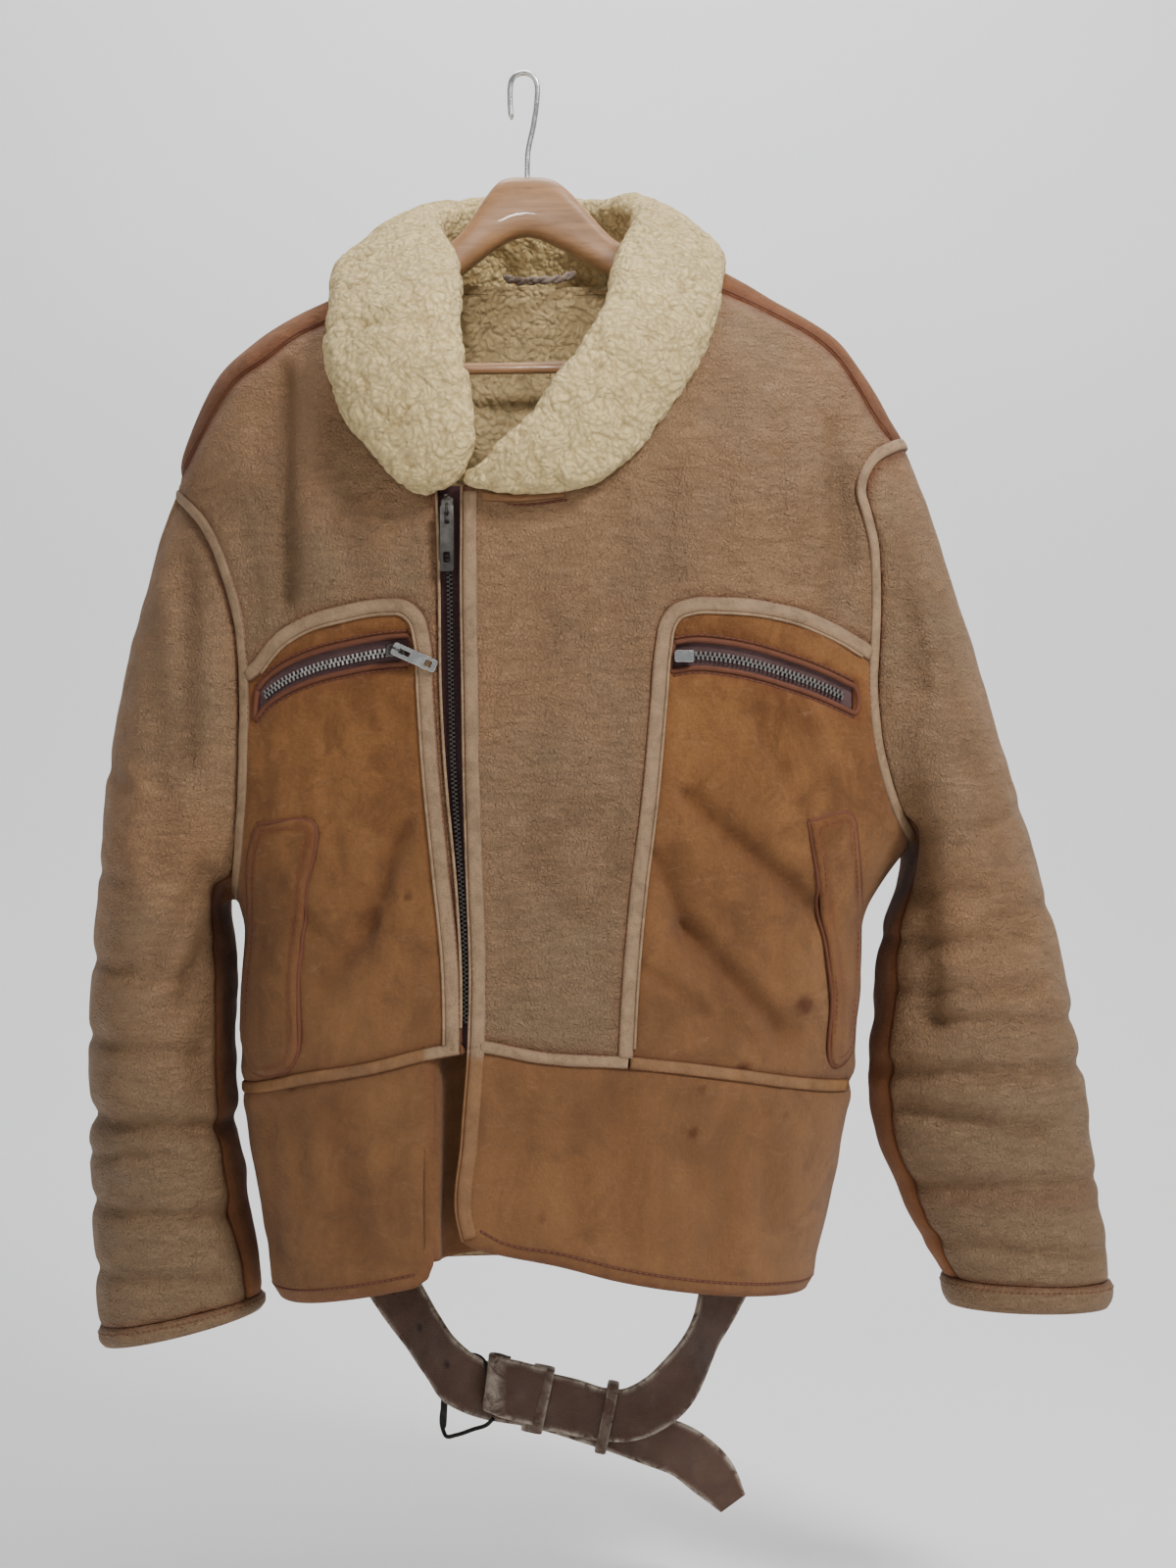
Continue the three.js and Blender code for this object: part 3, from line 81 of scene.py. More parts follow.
# Troughs in the fronts: x and z of each end, depth and half width
CREASES = [
    (-78, -515, -102, -575, 4, 10), (-102, -575, -128, -615, 4, 10), (88, -535, 106, -580, 4, 10),
    (106, -580, 168, -645, 5, 11), (106, -495, 190, -570, 4, 11), (-160, -225, -158, -365, 6, 14),
    (93, -285, 92, -350, 4, 14), (208, -290, 200, -370, 5, 12), (-120, -700, -110, -780, 4, 16),
    (60, -690, 70, -770, 3, 16),
]
# Finer ones that only the cloth shows
FINE_CREASES = [
    (-150, -560, -118, -600, 1.6, 5), (-90, -540, -84, -585, 1.3, 5), (-176, -240, -172, -330, 2.2, 8),
    (110, -600, 150, -655, 1.8, 5), (140, -520, 178, -548, 1.6, 6), (120, -560, 168, -612, 1.6, 6),
    (186, -300, 176, -352, 2.2, 7), (20, -520, 14, -580, 1.2, 9), (-20, -560, -8, -610, 1.0, 9),
    (150, -700, 160, -760, 2.2, 10), (0, -700, -6, -770, 1.8, 10), (-150, -700, -146, -760, 2.0, 9),
    (100, -705, 112, -742, 1.6, 8), (-90, -712, -84, -760, 1.6, 8),
    (-159, -212, -157, -362, 4.0, 6), (203, -250, 214, -340, 4.0, 7), (-186, -300, -176, -380, 2.5, 8),
    (84, -528, 104, -574, 2.5, 4), (104, -574, 165, -640, 3.0, 5), (104, -490, 186, -562, 2.8, 5),
    (74, -600, 130, -640, 2.4, 5), (-82, -520, -104, -580, 2.5, 5), (-128, -480, -120, -540, 2.0, 6),
    (-80, -440, -96, -520, 1.8, 7), (150, -440, 178, -500, 2.0, 7), (60, -300, 66, -420, 2.6, 12),
    (-110, -300, -104, -350, 2.4, 10), (10, -380, 4, -500, 2.2, 14), (-120, -250, -118, -330, 2.4, 12),
    (130, -230, 128, -340, 2.6, 13), (165, -250, 168, -350, 2.4, 10), (195, -560, 210, -600, 2.5, 6),
    (30, -700, 36, -765, 2.6, 12), (130, -700, 128, -790, 2.8, 12), (-170, -700, -166, -790, 3.0, 9),
]

# Lines seen from the front, as (x, z)
YOKE_RIGHT = [(-70, -150), (-128, -177), (-151, -187), (-174, -204), (-192, -215), (-205, -231),
              (-218, -253), (-230, -273), (-262, -290)]
YOKE_LEFT = [(70, -138), (129, -155), (146, -162), (172, -175), (194, -187), (209, -200), (221, -218),
             (232, -237), (243, -252), (264, -264)]
POCKET_RIGHT = [
    (-205, -430), (-174, -408), (-159, -391), (-142, -381), (-116, -374), (-90, -370), (-76, -371),
    (-68, -378), (-64, -392), (-62, -424), (-59, -470), (-52, -540), (-46, -600), (-45, -690)]
POCKET_LEFT = [(262, -424), (222, -396), (204, -386), (182, -377), (155, -371), (128, -369), (107, -370),
               (97, -374), (92, -381), (89, -396), (86, -430), (80, -496), (73, -553), (68, -609), (64, -690)]
WAIST_RIGHT = [(-260, -696), (-187, -687), (-140, -675), (-96, -666), (-63, -657), (-20, -649)]
WAIST_LEFT = [(-60, -649), (-27, -651), (11, -658), (71, -662), (137, -671), (180, -679), (270, -694)]
ARMHOLE_RIGHT = [
    (-262, -276), (-241, -285), (-226, -297), (-213, -311), (-204, -326), (-194, -351), (-187, -376),
    (-184, -399), (-183, -455), (-185, -503), (-190, -540), (-199, -566), (-222, -590)]
ARMHOLE_LEFT = [(285, -244), (261, -252), (242, -261), (230, -269), (223, -280), (221, -293), (224, -307),
                (228, -325), (230, -363), (228, -428), (232, -462), (239, -487), (250, -510), (270, -528),
                (300, -545)]
BACK_WAIST_Z = -682
BACK_HEM_Z = -828
BACK_SEAM_X = 8
ZIP_EDGE = [
    (-56, -285), (-55, -301), (-53, -359), (-52, -424), (-49, -477), (-42, -551), (-39, -604), (-39, -656)]
FREE_EDGE = [(-40, -285), (-40, -305), (-40, -359), (-39, -421), (-38, -484), (-36, -546), (-34, -609),
             (-35, -653), (-39, -709), (-41, -766), (-37, -777), (-28, -781)]
BAND_EDGE = [(-57, -656), (-57, -790), (-61, -800), (-69, -806)]
HEM_RIGHT = [(-69, -806), (-92, -812), (-117, -818), (-154, -826), (-190, -830), (-260, -832)]
HEM_LEFT = [
    (-28, -781), (-14, -784), (23, -791), (61, -801), (112, -811), (165, -819), (200, -824), (260, -828)]
NECK_RIGHT = [(-88, -90), (-88, -140), (-84, -190), (-76, -240), (-60, -285)]
NECK_LEFT = [(90, -90), (92, -150), (78, -200), (48, -245), (10, -275), (-36, -292)]
NECK_BACK = [(-88, -90), (-84, -126), (-55, -131), (60, -131), (88, -124), (90, -90)]
WINDOW_RIGHT = [
    (-175, -423), (-170, -417), (-159, -409), (-138, -400), (-113, -394), (-89, -390), (-74, -389)]
WINDOW_LEFT = [(96, -394), (107, -392), (128, -393), (150, -397), (171, -403), (192, -410), (215, -420)]
WINDOW_TALL = 18
WELT_RIGHT = [
    (-173, -510), (-136, -509), (-140, -552), (-146, -606), (-156, -672), (-180, -674), (-186, -663),
    (-184, -587), (-177, -520)]
WELT_LEFT = [(183, -508), (212, -504), (217, -526), (222, -576), (218, -640), (212, -667), (206, -670),
             (201, -622), (196, -583), (189, -539)]
CHAIN = [(-49, -296), (-47, -359), (-46, -424), (-44, -484), (-39.6, -546), (-37, -604), (-37, -640)]
CENTRE = [(-48, -285), (-37, -640), (-47, -660), (-49, -900)]

# Sleeve rings: outer x and z, inner x and z, half depth, and how much of the armhole's shape a ring keeps
SLEEVE_RIGHT = np.array([
    (-241, -283, -200, -562, 76, 1), (-251, -313, -204, -565, 80, 0.75), (-262, -352, -207, -569, 84, 0.5),
    (-272, -400, -206, -574, 86, 0.28), (-280, -450, -203, -582, 86, 0.12), (-287, -505, -200, -596, 84, 0),
    (-291, -551, -199, -620, 80, 0), (-295, -600, -199, -652, 75, 0), (-298, -655, -199, -687, 69, 0),
    (-298, -710, -198, -724, 63, 0), (-297, -765, -192, -764, 56, 0), (-295, -815, -185, -802, 49, 0),
    (-292, -852, -181, -830, 45, 0), (-290, -867, -180, -841, 44, 0)], float)
SLEEVE_LEFT = np.array([
    (262, -252, 272, -522, 74, 1), (275, -290, 272, -527, 78, 0.75), (288, -337, 270, -533, 82, 0.5),
    (303, -385, 264, -542, 84, 0.28), (318, -437, 257, -554, 83, 0.12), (332, -487, 248, -570, 80, 0),
    (348, -542, 241, -594, 75, 0), (364, -600, 237, -634, 68, 0), (375, -655, 232, -677, 60, 0),
    (384, -715, 239, -722, 51, 0), (391, -765, 256, -765, 45, 0), (396, -803, 272, -798, 41, 0),
    (399, -822, 282, -818, 39, 0), (398, -840, 286, -838, 38, 0)], float)
# Folds across the sleeves, seen from the front: x and z of each end, depth and half width
FOLDS_RIGHT = [
    (-300, -600, -225, -612, 2.5, 6), (-300, -652, -215, -664, 3, 6), (-300, -706, -190, -716, 5, 7),
    (-300, -733, -240, -729, 2.5, 5), (-300, -766, -200, -774, 3, 6), (-300, -812, -205, -816, 2.5, 6),
    (-200, -560, -222, -625, 5, 8), (-210, -545, -240, -600, 3, 8), (-206, -600, -214, -690, 3, 9),
    (-262, -330, -240, -420, 2.5, 12), (-222, -335, -218, -470, 5, 10), (-238, -440, -230, -540, 3.5, 12),
    (-285, -470, -262, -486, 2, 6), (-292, -540, -262, -548, 2, 6),
]
FOLDS_LEFT = [
    (236, -560, 300, -553, 3, 7), (240, -590, 330, -584, 3, 6), (250, -622, 340, -618, 2.5, 6),
    (262, -640, 375, -642, 3, 6), (240, -676, 390, -674, 4, 7), (250, -700, 345, -716, 3.5, 6),
    (262, -752, 395, -752, 3, 6), (275, -790, 390, -801, 2.5, 6), (258, -520, 268, -640, 4, 9),
    (270, -360, 290, -470, 3, 12), (300, -470, 320, -560, 2, 12), (250, -330, 258, -420, 4, 10),
    (330, -500, 290, -512, 2, 6), (352, -566, 300, -572, 2.2, 6),
]
SEAM_TURNS = (152, 250)
CUFF_ROW = 12

# Collar rings: roll edge, outer edge, thickness at each, and the way the fleece faces
COLLAR = np.array([
    (-30, -118, -274, -51, -118, -300, 20, 18, 0, -1, 0),
    (-33, -118, -254, -72, -118, -294, 26, 20, 0, -1, 0),
    (-36, -116, -236, -95, -114, -272, 30, 22, 0, -1, 0),
    (-39, -113, -219, -114, -108, -249, 32, 24, 0, -1, 0.1),
    (-42, -106, -196, -124, -96, -218, 34, 26, 0, -1, 0.2),
    (-44, -90, -171, -127, -74, -181, 36, 28, -0.1, -1, 0.4),
    (-47, -62, -140, -127, -42, -156, 36, 30, -0.2, -0.8, 0.7),
    (-62, -22, -108, -125, -8, -143, 34, 30, -0.4, -0.2, 0.9),
    (-62, 22, -88, -118, 38, -142, 34, 30, -0.5, 0.4, 0.7),
    (-44, 58, -75, -88, 84, -146, 34, 28, -0.4, 0.8, 0.4),
    (-16, 72, -70, -40, 106, -150, 34, 28, -0.1, 1, 0.3), (16, 74, -70, 24, 109, -150, 34, 28, 0, 1, 0.3),
    (48, 62, -72, 82, 94, -146, 34, 28, 0.3, 0.9, 0.3), (72, 32, -78, 120, 52, -138, 34, 30, 0.5, 0.5, 0.7),
    (76, -10, -98, 130, 4, -134, 34, 30, 0.5, 0, 0.9),
    (65, -48, -126, 130, -32, -142, 36, 30, 0.2, -0.6, 0.8),
    (59, -76, -152, 127, -58, -164, 36, 28, 0.1, -0.9, 0.5),
    (53, -98, -178, 119, -84, -192, 34, 26, 0, -1, 0.3),
    (42, -109, -198, 106, -100, -221, 34, 24, 0, -1, 0.15),
    (28, -114, -219, 87, -109, -249, 32, 22, 0, -1, 0), (12, -117, -244, 61, -115, -278, 30, 21, 0, -1, 0),
    (-6, -118, -264, 27, -118, -296, 28, 20, 0, -1, 0),
    (-26, -118, -275, -44, -118, -300, 22, 18, 0, -1, 0)], float)
COLLAR_SQUARENESS = 2.6

# Belt: middle of the strap, the way its width runs, and its width; the first three rows lie along the back
STRAP = 3.4
HOLE_STRAP = [
    (-135, 4, -690, 0, 0, 0, 38), (-133, 8, -735, 0, 0, 0, 38), (-127, 12, -780, 0, 0, 0, 38),
    (-116, 112, -822, 0.9, 0.2, 0.2, 38), (-100, 106, -848, 0.7, 0, 0.5, 38),
    (-76, 84, -878, 0.5, -0.3, 0.7, 39), (-62, 67, -893, 0.42, -0.2, 0.8, 39),
    (-50, 60.5, -904, 0.35, 0, 0.85, 40), (-40, 65, -911, 0.3, 0, 0.9, 40),
    (-28, 71.5, -917, 0.25, 0, 1, 40), (0, 71.5, -922, 0.15, 0, 1, 40), (30, 71.5, -930, 0.22, 0, 1, 40),
    (58, 71.5, -939, 0.32, 0, 1, 40), (85, 72, -950, 0.45, 0, 1, 38), (112, 74, -962, 0.6, 0, 1, 37),
    (130, 76, -978, 1, 0, 0.8, 35), (145, 78, -998, 1, 0, 0.35, 22)]
BUCKLE_STRAP = [
    (168, 5.5, -690, 0, 0, 0, 38), (165, 9.5, -735, 0, 0, 0, 38), (158, 13.5, -780, 0, 0, 0, 38),
    (150, 103, -822, 0.9, -0.2, -0.1, 38), (138, 96, -852, 0.6, 0.3, -0.2, 38),
    (126, 82, -876, 0.5, 0.6, -0.4, 38), (112, 70, -899, 0.35, 0.3, -0.8, 38),
    (94, 66, -920, 0.25, 0, -1, 38), (68, 65, -932, -0.1, 0, -1, 38), (50, 65, -931, -0.22, 0, -1, 38),
    (30, 65, -926, -0.22, 0, -1, 40), (0, 65, -919, -0.2, 0, -1, 40), (-17.5, 65, -913, -0.2, 0, -1, 38)]
FOLD_OVER = [
    (7, 61.2, -917.5, -0.2, 0, -1, 42), (-4, 59, -914.5, -0.2, 0, -1, 42),
    (-14, 57, -911.5, -0.18, 0, -1, 42), (-22, 56.8, -909, -0.15, 0, -1, 41),
    (-28, 59.5, -907.5, -0.12, 0, -1, 41), (-29.5, 63.5, -907, -0.12, 0, -1, 40),
    (-26, 67.5, -908, -0.15, 0, -1, 40), (-18, 69, -910, -0.18, 0, -1, 39)]
LAID_ROWS = 3
STRAPS_Y = 68
STRAPS_DEEP = 10.8
BUCKLE_WIRE = [
    (-25.5, -932), (-28.2, -912), (-35.5, -890.5), (-39.5, -889), (-50, -898), (-59, -911), (-60.5, -920),
    (-61.5, -942), (-59, -947), (-52, -946), (-40, -942), (-30, -938.5), (-25.5, -934)]
BELT_HOLES = [(-99, -851), (-79.5, -874), (-58.5, -895)]

# Hanger wood: middle of each section, half height and half depth
WOOD = np.array([
    (-204, -6, -216, 9, 14), (-190, -8, -208, 13, 20), (-150, -6, -187, 14, 22), (-100, -2, -161, 13, 18),
    (-75, 0, -141, 13, 15), (-46, 0, -123, 14, 13), (-19, 0, -95, 22, 12), (0, 0, -90, 20, 12),
    (20, 0, -95, 22, 12), (60, 0, -126, 13, 13), (105, -2, -147, 13, 18), (155, -6, -174, 14, 22),
    (196, -8, -198, 13, 20), (210, -6, -207, 9, 14)], float)

# Small dark spots on the fronts: x, z and radius
SPOTS = [
    (-152, -680, 4.5), (183, -628, 6.0), (141, -668, 5.0), (-74, -556, 2.6), (109, -707, 3.0),
    (114, -680, 2.2), (12, -760, 1.8), (170, -700, 1.6)]


def size_property(name, description, value):
    return bpy.props.FloatProperty(name=name, description=description, default=value, unit="LENGTH")


class JacketSizes(bpy.types.PropertyGroup):
    """Sizes that a user would change"""
    skin: size_property("Sheepskin", "Thickness of the body's sheepskin", 0.008)
    sleeve_skin: size_property("Sleeve skin", "Thickness of the sleeves' sheepskin", 0.006)
    cloth_step: size_property("Leather mesh", "Mesh spacing on the body and sleeves", 0.0033)
    fleece_step: size_property("Fleece mesh", "Mesh spacing on the collar", 0.0022)
    curl: size_property("Curl size", "Distance between curls of the collar's fleece", 0.0115)
    curl_height: size_property("Curl height", "Height of the fleece's curls", 0.0042)
    stitch_pitch: size_property("Stitch pitch", "Distance from stitch to stitch", 0.0040)
    tape_height: size_property("Tape height", "How far a seam tape stands up", 0.0024)


def colour_property(name, description, value):
    return bpy.props.FloatVectorProperty(name=name, description=description, default=value, size=3,
                                         subtype="COLOR", min=0, max=1)


class JacketColours(bpy.types.PropertyGroup):
    """Colours that a user would change"""
    leather: colour_property("Leather", "Worn leather side of the skins", (0.345, 0.186, 0.088))
    leather_grey: colour_property("Rubbed leather", "Greyer worn leather", (0.270, 0.172, 0.092))
    suede: colour_property("Suede", "Golden suede panels", (0.300, 0.135, 0.046))
    suede_dark: colour_property("Dark suede", "Darker patches of the suede", (0.150, 0.062, 0.022))
    # Darker and browner suede, laid on towards the bottom of the jacket
    suede_dusty: colour_property("Lower suede tint", "Browner suede lower down", (0.205, 0.112, 0.058))
    shoulder: colour_property("Shoulder suede", "Red-brown suede of the back", (0.250, 0.105, 0.044))
    tape: colour_property("Seam tape", "Pale leather of the seam tapes", (0.290, 0.185, 0.105))
    seam: colour_property("Seam shade", "Red-brown shade along the stitching", (0.165, 0.050, 0.020))
    fleece: colour_property("Collar fleece", "Cream shearling of the collar", (1.0, 0.76, 0.35))
    lining: colour_property("Lining fleece", "Yellower fleece inside", (1.0, 0.72, 0.34))
    zip_tape: colour_property("Zip tape", "Woven tape of the zips", (0.050, 0.024, 0.024))
    belt: colour_property("Belt", "Belt leather", (0.105, 0.055, 0.036))
    wood: colour_property("Hanger wood", "Varnished hanger wood", (0.340, 0.175, 0.078))


# Curves and form


def cubic(first, first_slope, last, last_slope, t, span):
    """Cubic between two values with a slope at each, where t goes from 0 to 1 over the span."""
    return (first * (2 * t**3 - 3 * t**2 + 1) + first_slope * span * (t**3 - 2 * t**2 + t)
            + last * (3 * t**2 - 2 * t**3) + last_slope * span * (t**3 - t**2))


def path_length(path):
    """Length of a path up to each of its points."""
    return np.concatenate([[0], np.cumsum(np.linalg.norm(np.diff(path, axis=0), axis=1))])


def cubic_rows(rows, length, at):
    """Rows of a table read at lengths along it; the slope at a row is a mean over its neighbours."""
    slopes = np.gradient(rows, length, axis=0)
    i = np.clip(np.searchsorted(length, at, side="right") - 1, 0, len(rows) - 2)
    span = (length[i + 1] - length[i])[:, None]
    return cubic(rows[i], slopes[i], rows[i + 1], slopes[i + 1], (at - length[i])[:, None] / span, span)


def read_along(length, at, *vectors):
    """Vectors given along a path, read at other lengths along it."""
    return [np.stack([np.interp(at, length, v[:, k]) for k in range(3)], -1) for v in vectors]


def along(keys, values, at):
    """Cubic through rows of a table; the slope at a row is the mean of its two chords, or zero at a turn."""
    keys = np.asarray(keys, float)
    values = np.asarray(values, float)
    if keys[0] > keys[-1]:
        keys, values = keys[::-1], values[::-1]
    chords = np.diff(values) / np.diff(keys)
    at = np.clip(at, keys[0], keys[-1])
    i = np.clip(np.searchsorted(keys, at, side="right") - 1, 0, len(chords) - 1)
    middle = chords[i]
    before = np.where(i > 0, (chords[np.maximum(i - 1, 0)] + middle) / 2, middle)
    after = np.where(i < len(chords) - 1, (chords[np.minimum(i + 1, len(chords) - 1)] + middle) / 2, middle)
    before = np.where(before * middle <= 0, 0, before)
    after = np.where(after * middle <= 0, 0, after)
    span = keys[i + 1] - keys[i]
    return cubic(values[i], before, values[i + 1], after, (at - keys[i]) / span, span)


def smooth_line(points, step=3.0):
    """A curve through the points: each coordinate is a cubic of the length so far, read in even steps."""
    p = np.asarray(points, float)
    length = path_length(p)
    count = max(2, int(round(length[-1] / step)) + 1)
    return cubic_rows(p, length, np.linspace(0, length[-1], count))


def unit(vectors):
    return vectors / np.maximum(np.linalg.norm(vectors, axis=-1, keepdims=True), 1e-9)


def ways_along(path):
    """Unit directions along a path."""
    return unit(np.gradient(path, axis=0))


def full_turn(count):
    """Even turns round a circle, from 0 up to but without its end."""
    return np.linspace(0, TAU, count, endpoint=False)


def bell(value, wide, at=0.0):
    """A bell curve: 1 where the value is at its middle, and near 0 twice the width away."""
    return np.exp(-(((value - at) / wide) ** 2))


def oblong(turn, squareness):
    """Cosine and sine of a turn, each to the power 2 / squareness with its sign kept."""
    cosine, sine = np.cos(turn), np.sin(turn)
    power = 2 / squareness
    return np.sign(cosine) * np.abs(cosine) ** power, np.sign(sine) * np.abs(sine) ** power


def section(z):
    left, right, front, back = (along(BODY_Z, BODY[k], z) for k in ("left", "right", "front", "back"))
    return (left + right) / 2, (right - left) / 2, front, back


def body_field(x, y, z):
    middle, half, front, back = section(z)
    deep = np.where(y < 0, front, back)
    return np.abs((x - middle) / half) ** SQUARENESS + np.abs(y / deep) ** SQUARENESS


def body_normal(x, y, z):
    """Gradient of the body's superellipse, from a probe's length each way."""
    h = PROBE
    return unit(np.stack([body_field(x + h, y, z) - body_field(x - h, y, z),
                          body_field(x, y + h, z) - body_field(x, y - h, z),
                          body_field(x, y, z + h) - body_field(x, y, z - h)], -1))


def crease_depth(x, z, creases):
    """Sum of soft troughs: each is its depth times a bell curve of the distance to its segment."""
    total = np.zeros(np.broadcast(x, z).shape)
    for x1, z1, x2, z2, depth, wide in creases:
        dx, dz = x2 - x1, z2 - z1
        t = np.clip(((x - x1) * dx + (z - z1) * dz) / (dx * dx + dz * dz), 0, 1)
        total += depth * np.exp(-((x - x1 - t * dx) ** 2 + (z - z1 - t * dz) ** 2) / wide**2)
    return total


def waves(points, size, seed):
    """Soft unevenness near -1 to 1: a sum of eight sine waves, their ways and phases drawn from the seed."""
    rng = np.random.default_rng(seed)
    total = 0
    for _ in range(8):
        direction = unit(rng.normal(size=3)) * TAU / (size * rng.uniform(0.7, 1.5))
        total = total + np.sin(points @ direction + rng.uniform(0, TAU))
    return total / 8**0.5 / 1.2


def three_waves(points, size, seed):
    """Soft unevenness along each of the three axes."""
    return np.stack([waves(points, size, seed + k) for k in range(3)], -1)


def body_at(x, z, out, front=True):
    """Points of the skin under places seen from the front: y is on the superellipse, out along the normal."""
    middle, half, deep_front, deep_back = section(z)
    side = np.clip((x - middle) / half, -0.9996, 0.9996)
    x = middle + side * half
    deep = np.where(front, -deep_front, deep_back)
    y = deep * (1 - np.abs(side) ** SQUARENESS) ** (1 / SQUARENESS)
    normal = body_normal(x, y, z)
    place = np.stack([x, y, z + 0 * x], -1)
    trough = np.where(front, crease_depth(x, z, CREASES), 0)
    return place + normal * (out - trough)[..., None], normal


def body_depth(x, z, front):
    """Depth of the plain form at one place."""
    middle, half, deep_front, deep_back = section(z)
    side = np.minimum(1, np.abs((x - middle) / half))
    return np.where(front, -deep_front, deep_back) * (1 - side**SQUARENESS) ** (1 / SQUARENESS)


def body_turned(turn, z):
    """Points by turn round the body: x goes as the sine and y as the cosine of its squared oblong."""
    middle, half, deep_front, deep_back = section(z)
    cosine, sine = oblong(turn, SQUARENESS)
    return middle + half * sine, -np.where(cosine > 0, deep_front, deep_back) * cosine


def in_outline(x, z, outline):
    """Even-odd rule: a place is inside if a line from it crosses the outline an odd number of times."""
    p = np.asarray(outline, float)
    q = np.roll(p, -1, axis=0)
    inside = np.zeros(np.shape(x), bool)
    for (x1, z1), (x2, z2) in zip(p, q):
        if z1 != z2:
            crosses = ((z1 > z) != (z2 > z)) & (x < (x2 - x1) * (z - z1) / (z2 - z1) + x1)
            inside ^= crosses
    return inside


def nearest_on_lines(x, z, lines):
    """Distance to the nearest of several broken lines, and the nearest place, by segments."""
    best = np.full(np.shape(x), 1e9)
    near = np.stack([x, z], -1).astype(float)
    for line in lines:
        p = np.asarray(line, float)
        for (x1, z1), (x2, z2) in zip(p[:-1], p[1:]):
            dx, dz = x2 - x1, z2 - z1
            t = np.clip(((x - x1) * dx + (z - z1) * dz) / (dx * dx + dz * dz + 1e-12), 0, 1)
            px, pz = x1 + t * dx, z1 + t * dz
            away = np.hypot(x - px, z - pz)
            closer = away < best
            best = np.where(closer, away, best)
            near = np.where(closer[..., None], np.stack([px, pz], -1), near)
    return best, near


def lumps(points, size, seed):
    """Distance to the nearest of one scattered point in each cube: 0 in a curl's middle, 1 far off."""
    q = points / size
    base = np.floor(q)
    best = np.full(len(points), 9.0)
    for dx in (-1, 0, 1):
        for dy in (-1, 0, 1):
            for dz in (-1, 0, 1):
                cell = base + (dx, dy, dz)
                key = cell @ np.array([127.1, 311.7, 74.7]) + seed * 17.3
                spot = np.stack([np.mod(np.sin(key + k) * 43758.5453, 1) for k in (0, 19.19, 47.31)], -1)
                best = np.minimum(best, np.linalg.norm(q - cell - spot, axis=1))
    return np.clip(best, 0, 1)


# Meshes


def grid_faces(rows, columns, wrap=False):
    i = np.arange(rows - 1)[:, None]
    j = np.arange(columns if wrap else columns - 1)[None, :]
    a = i * columns + j
    b = i * columns + (j + 1) % columns
    return np.stack([a, b, b + columns, a + columns], -1).reshape(-1, 4)


def put_mesh(name, points, faces, material, smooth=True, values=None):
    """Makes an object of points in millimetres; faces is a list of arrays or lists of corners."""
    mesh = bpy.data.meshes.new(name)
    corners = [face for group in faces for face in np.asarray(group).tolist()]
    mesh.from_pydata((np.asarray(points, float) * MM).tolist(), [], corners)
    mesh.polygons.foreach_set("use_smooth", [smooth] * len(mesh.polygons))
    for key, numbers in (values or {}).items():
        layer = mesh.attributes.new(key, "FLOAT", "POINT")
        layer.data.foreach_set("value", np.asarray(numbers, float).ravel())
    mesh.materials.append(material)
    mesh.update()
    mesh.validate()
    obj = bpy.data.objects.new(name, mesh)
    bpy.context.scene.collection.objects.link(obj)
    return obj


def round_faces(rows, columns):
    """Quads of a grid that closes both ways."""
    last = (rows - 1) * columns
    j = np.arange(columns)
    k = (j + 1) % columns
    return np.concatenate([grid_faces(rows, columns, wrap=True), np.stack([last + j, last + k, k, j], -1)])


def used_only(quads, count):
    """Numbers anew the points that quads use: the quads, which points these are and which lie on an edge."""
    uses = np.bincount(quads.ravel(), minlength=count)
    used = np.flatnonzero(uses)
    number = np.full(count, -1)
    number[used] = np.arange(len(used))
    return number[quads], used, uses[used] < 4


def faced(points, quads, outwards):
    """Turns a sheet's quads over if, all together, they face against the outward ways at their corners."""
    p = points[quads]
    facing = np.cross(p[:, 2] - p[:, 0], p[:, 3] - p[:, 1])
    return quads[:, ::-1] if np.sum(facing * outwards[quads[:, 0]]) < 0 else quads


def volume_sign(points, quads):
    a, b, c, d = (points[quads[:, k]] for k in range(4))
    return np.sum(np.cross(a, b) * c) + np.sum(np.cross(a, c) * d)


def closed_faced(points, quads):
    """Turns a closed surface's quads over if they face inwards."""
    return quads[:, ::-1] if volume_sign(points - points.mean(axis=0), quads) < 0 else quads


def rings_on(place, across, up, a, b):
    """A ring of points round each place: a along one way and b along the other."""
    return place[:, None] + across[:, None] * a[..., None] + up[:, None] * b[..., None]


def closed_sweep(rings):
    """A closed solid from rings of points: quads round and along, and a face of many corners at each end."""
    rings = np.asarray(rings, float)
    rows, columns = rings.shape[:2]
    points = rings.reshape(-1, 3)
    quads = grid_faces(rows, columns, wrap=True)
    first = list(range(columns))[::-1]
    last = list(range((rows - 1) * columns, rows * columns))
    middle = points - points.mean(axis=0)
    if volume_sign(middle, quads) < 0:
        quads, first, last = quads[:, ::-1], first[::-1], last[::-1]
    return points, [quads, [first], [last]]


def tube_rings(path, radius, sides=14):
    """Circles square to a path, each turned as little as possible from the one before."""
    path = np.asarray(path, float)
    forwards = ways_along(path)
    side = np.cross(forwards[0], (0.31, 0.87, 0.39))
    sides_list = []
    for direction in forwards:
        side = unit(side - direction * (side @ direction))
        sides_list.append(side)
    across = np.array(sides_list)
    up = np.cross(forwards, across)
    turn = full_turn(sides)
    reach = np.broadcast_to(np.asarray(radius, float), (len(path),))[:, None, None]
    circle = across[:, None] * np.cos(turn)[None, :, None] + up[:, None] * np.sin(turn)[None, :, None]
    return path[:, None] + circle * reach


def put_tube(name, path, radius, material, sides=14):
    points, faces = closed_sweep(tube_rings(path, radius, sides))
    return put_mesh(name, points, faces, material)


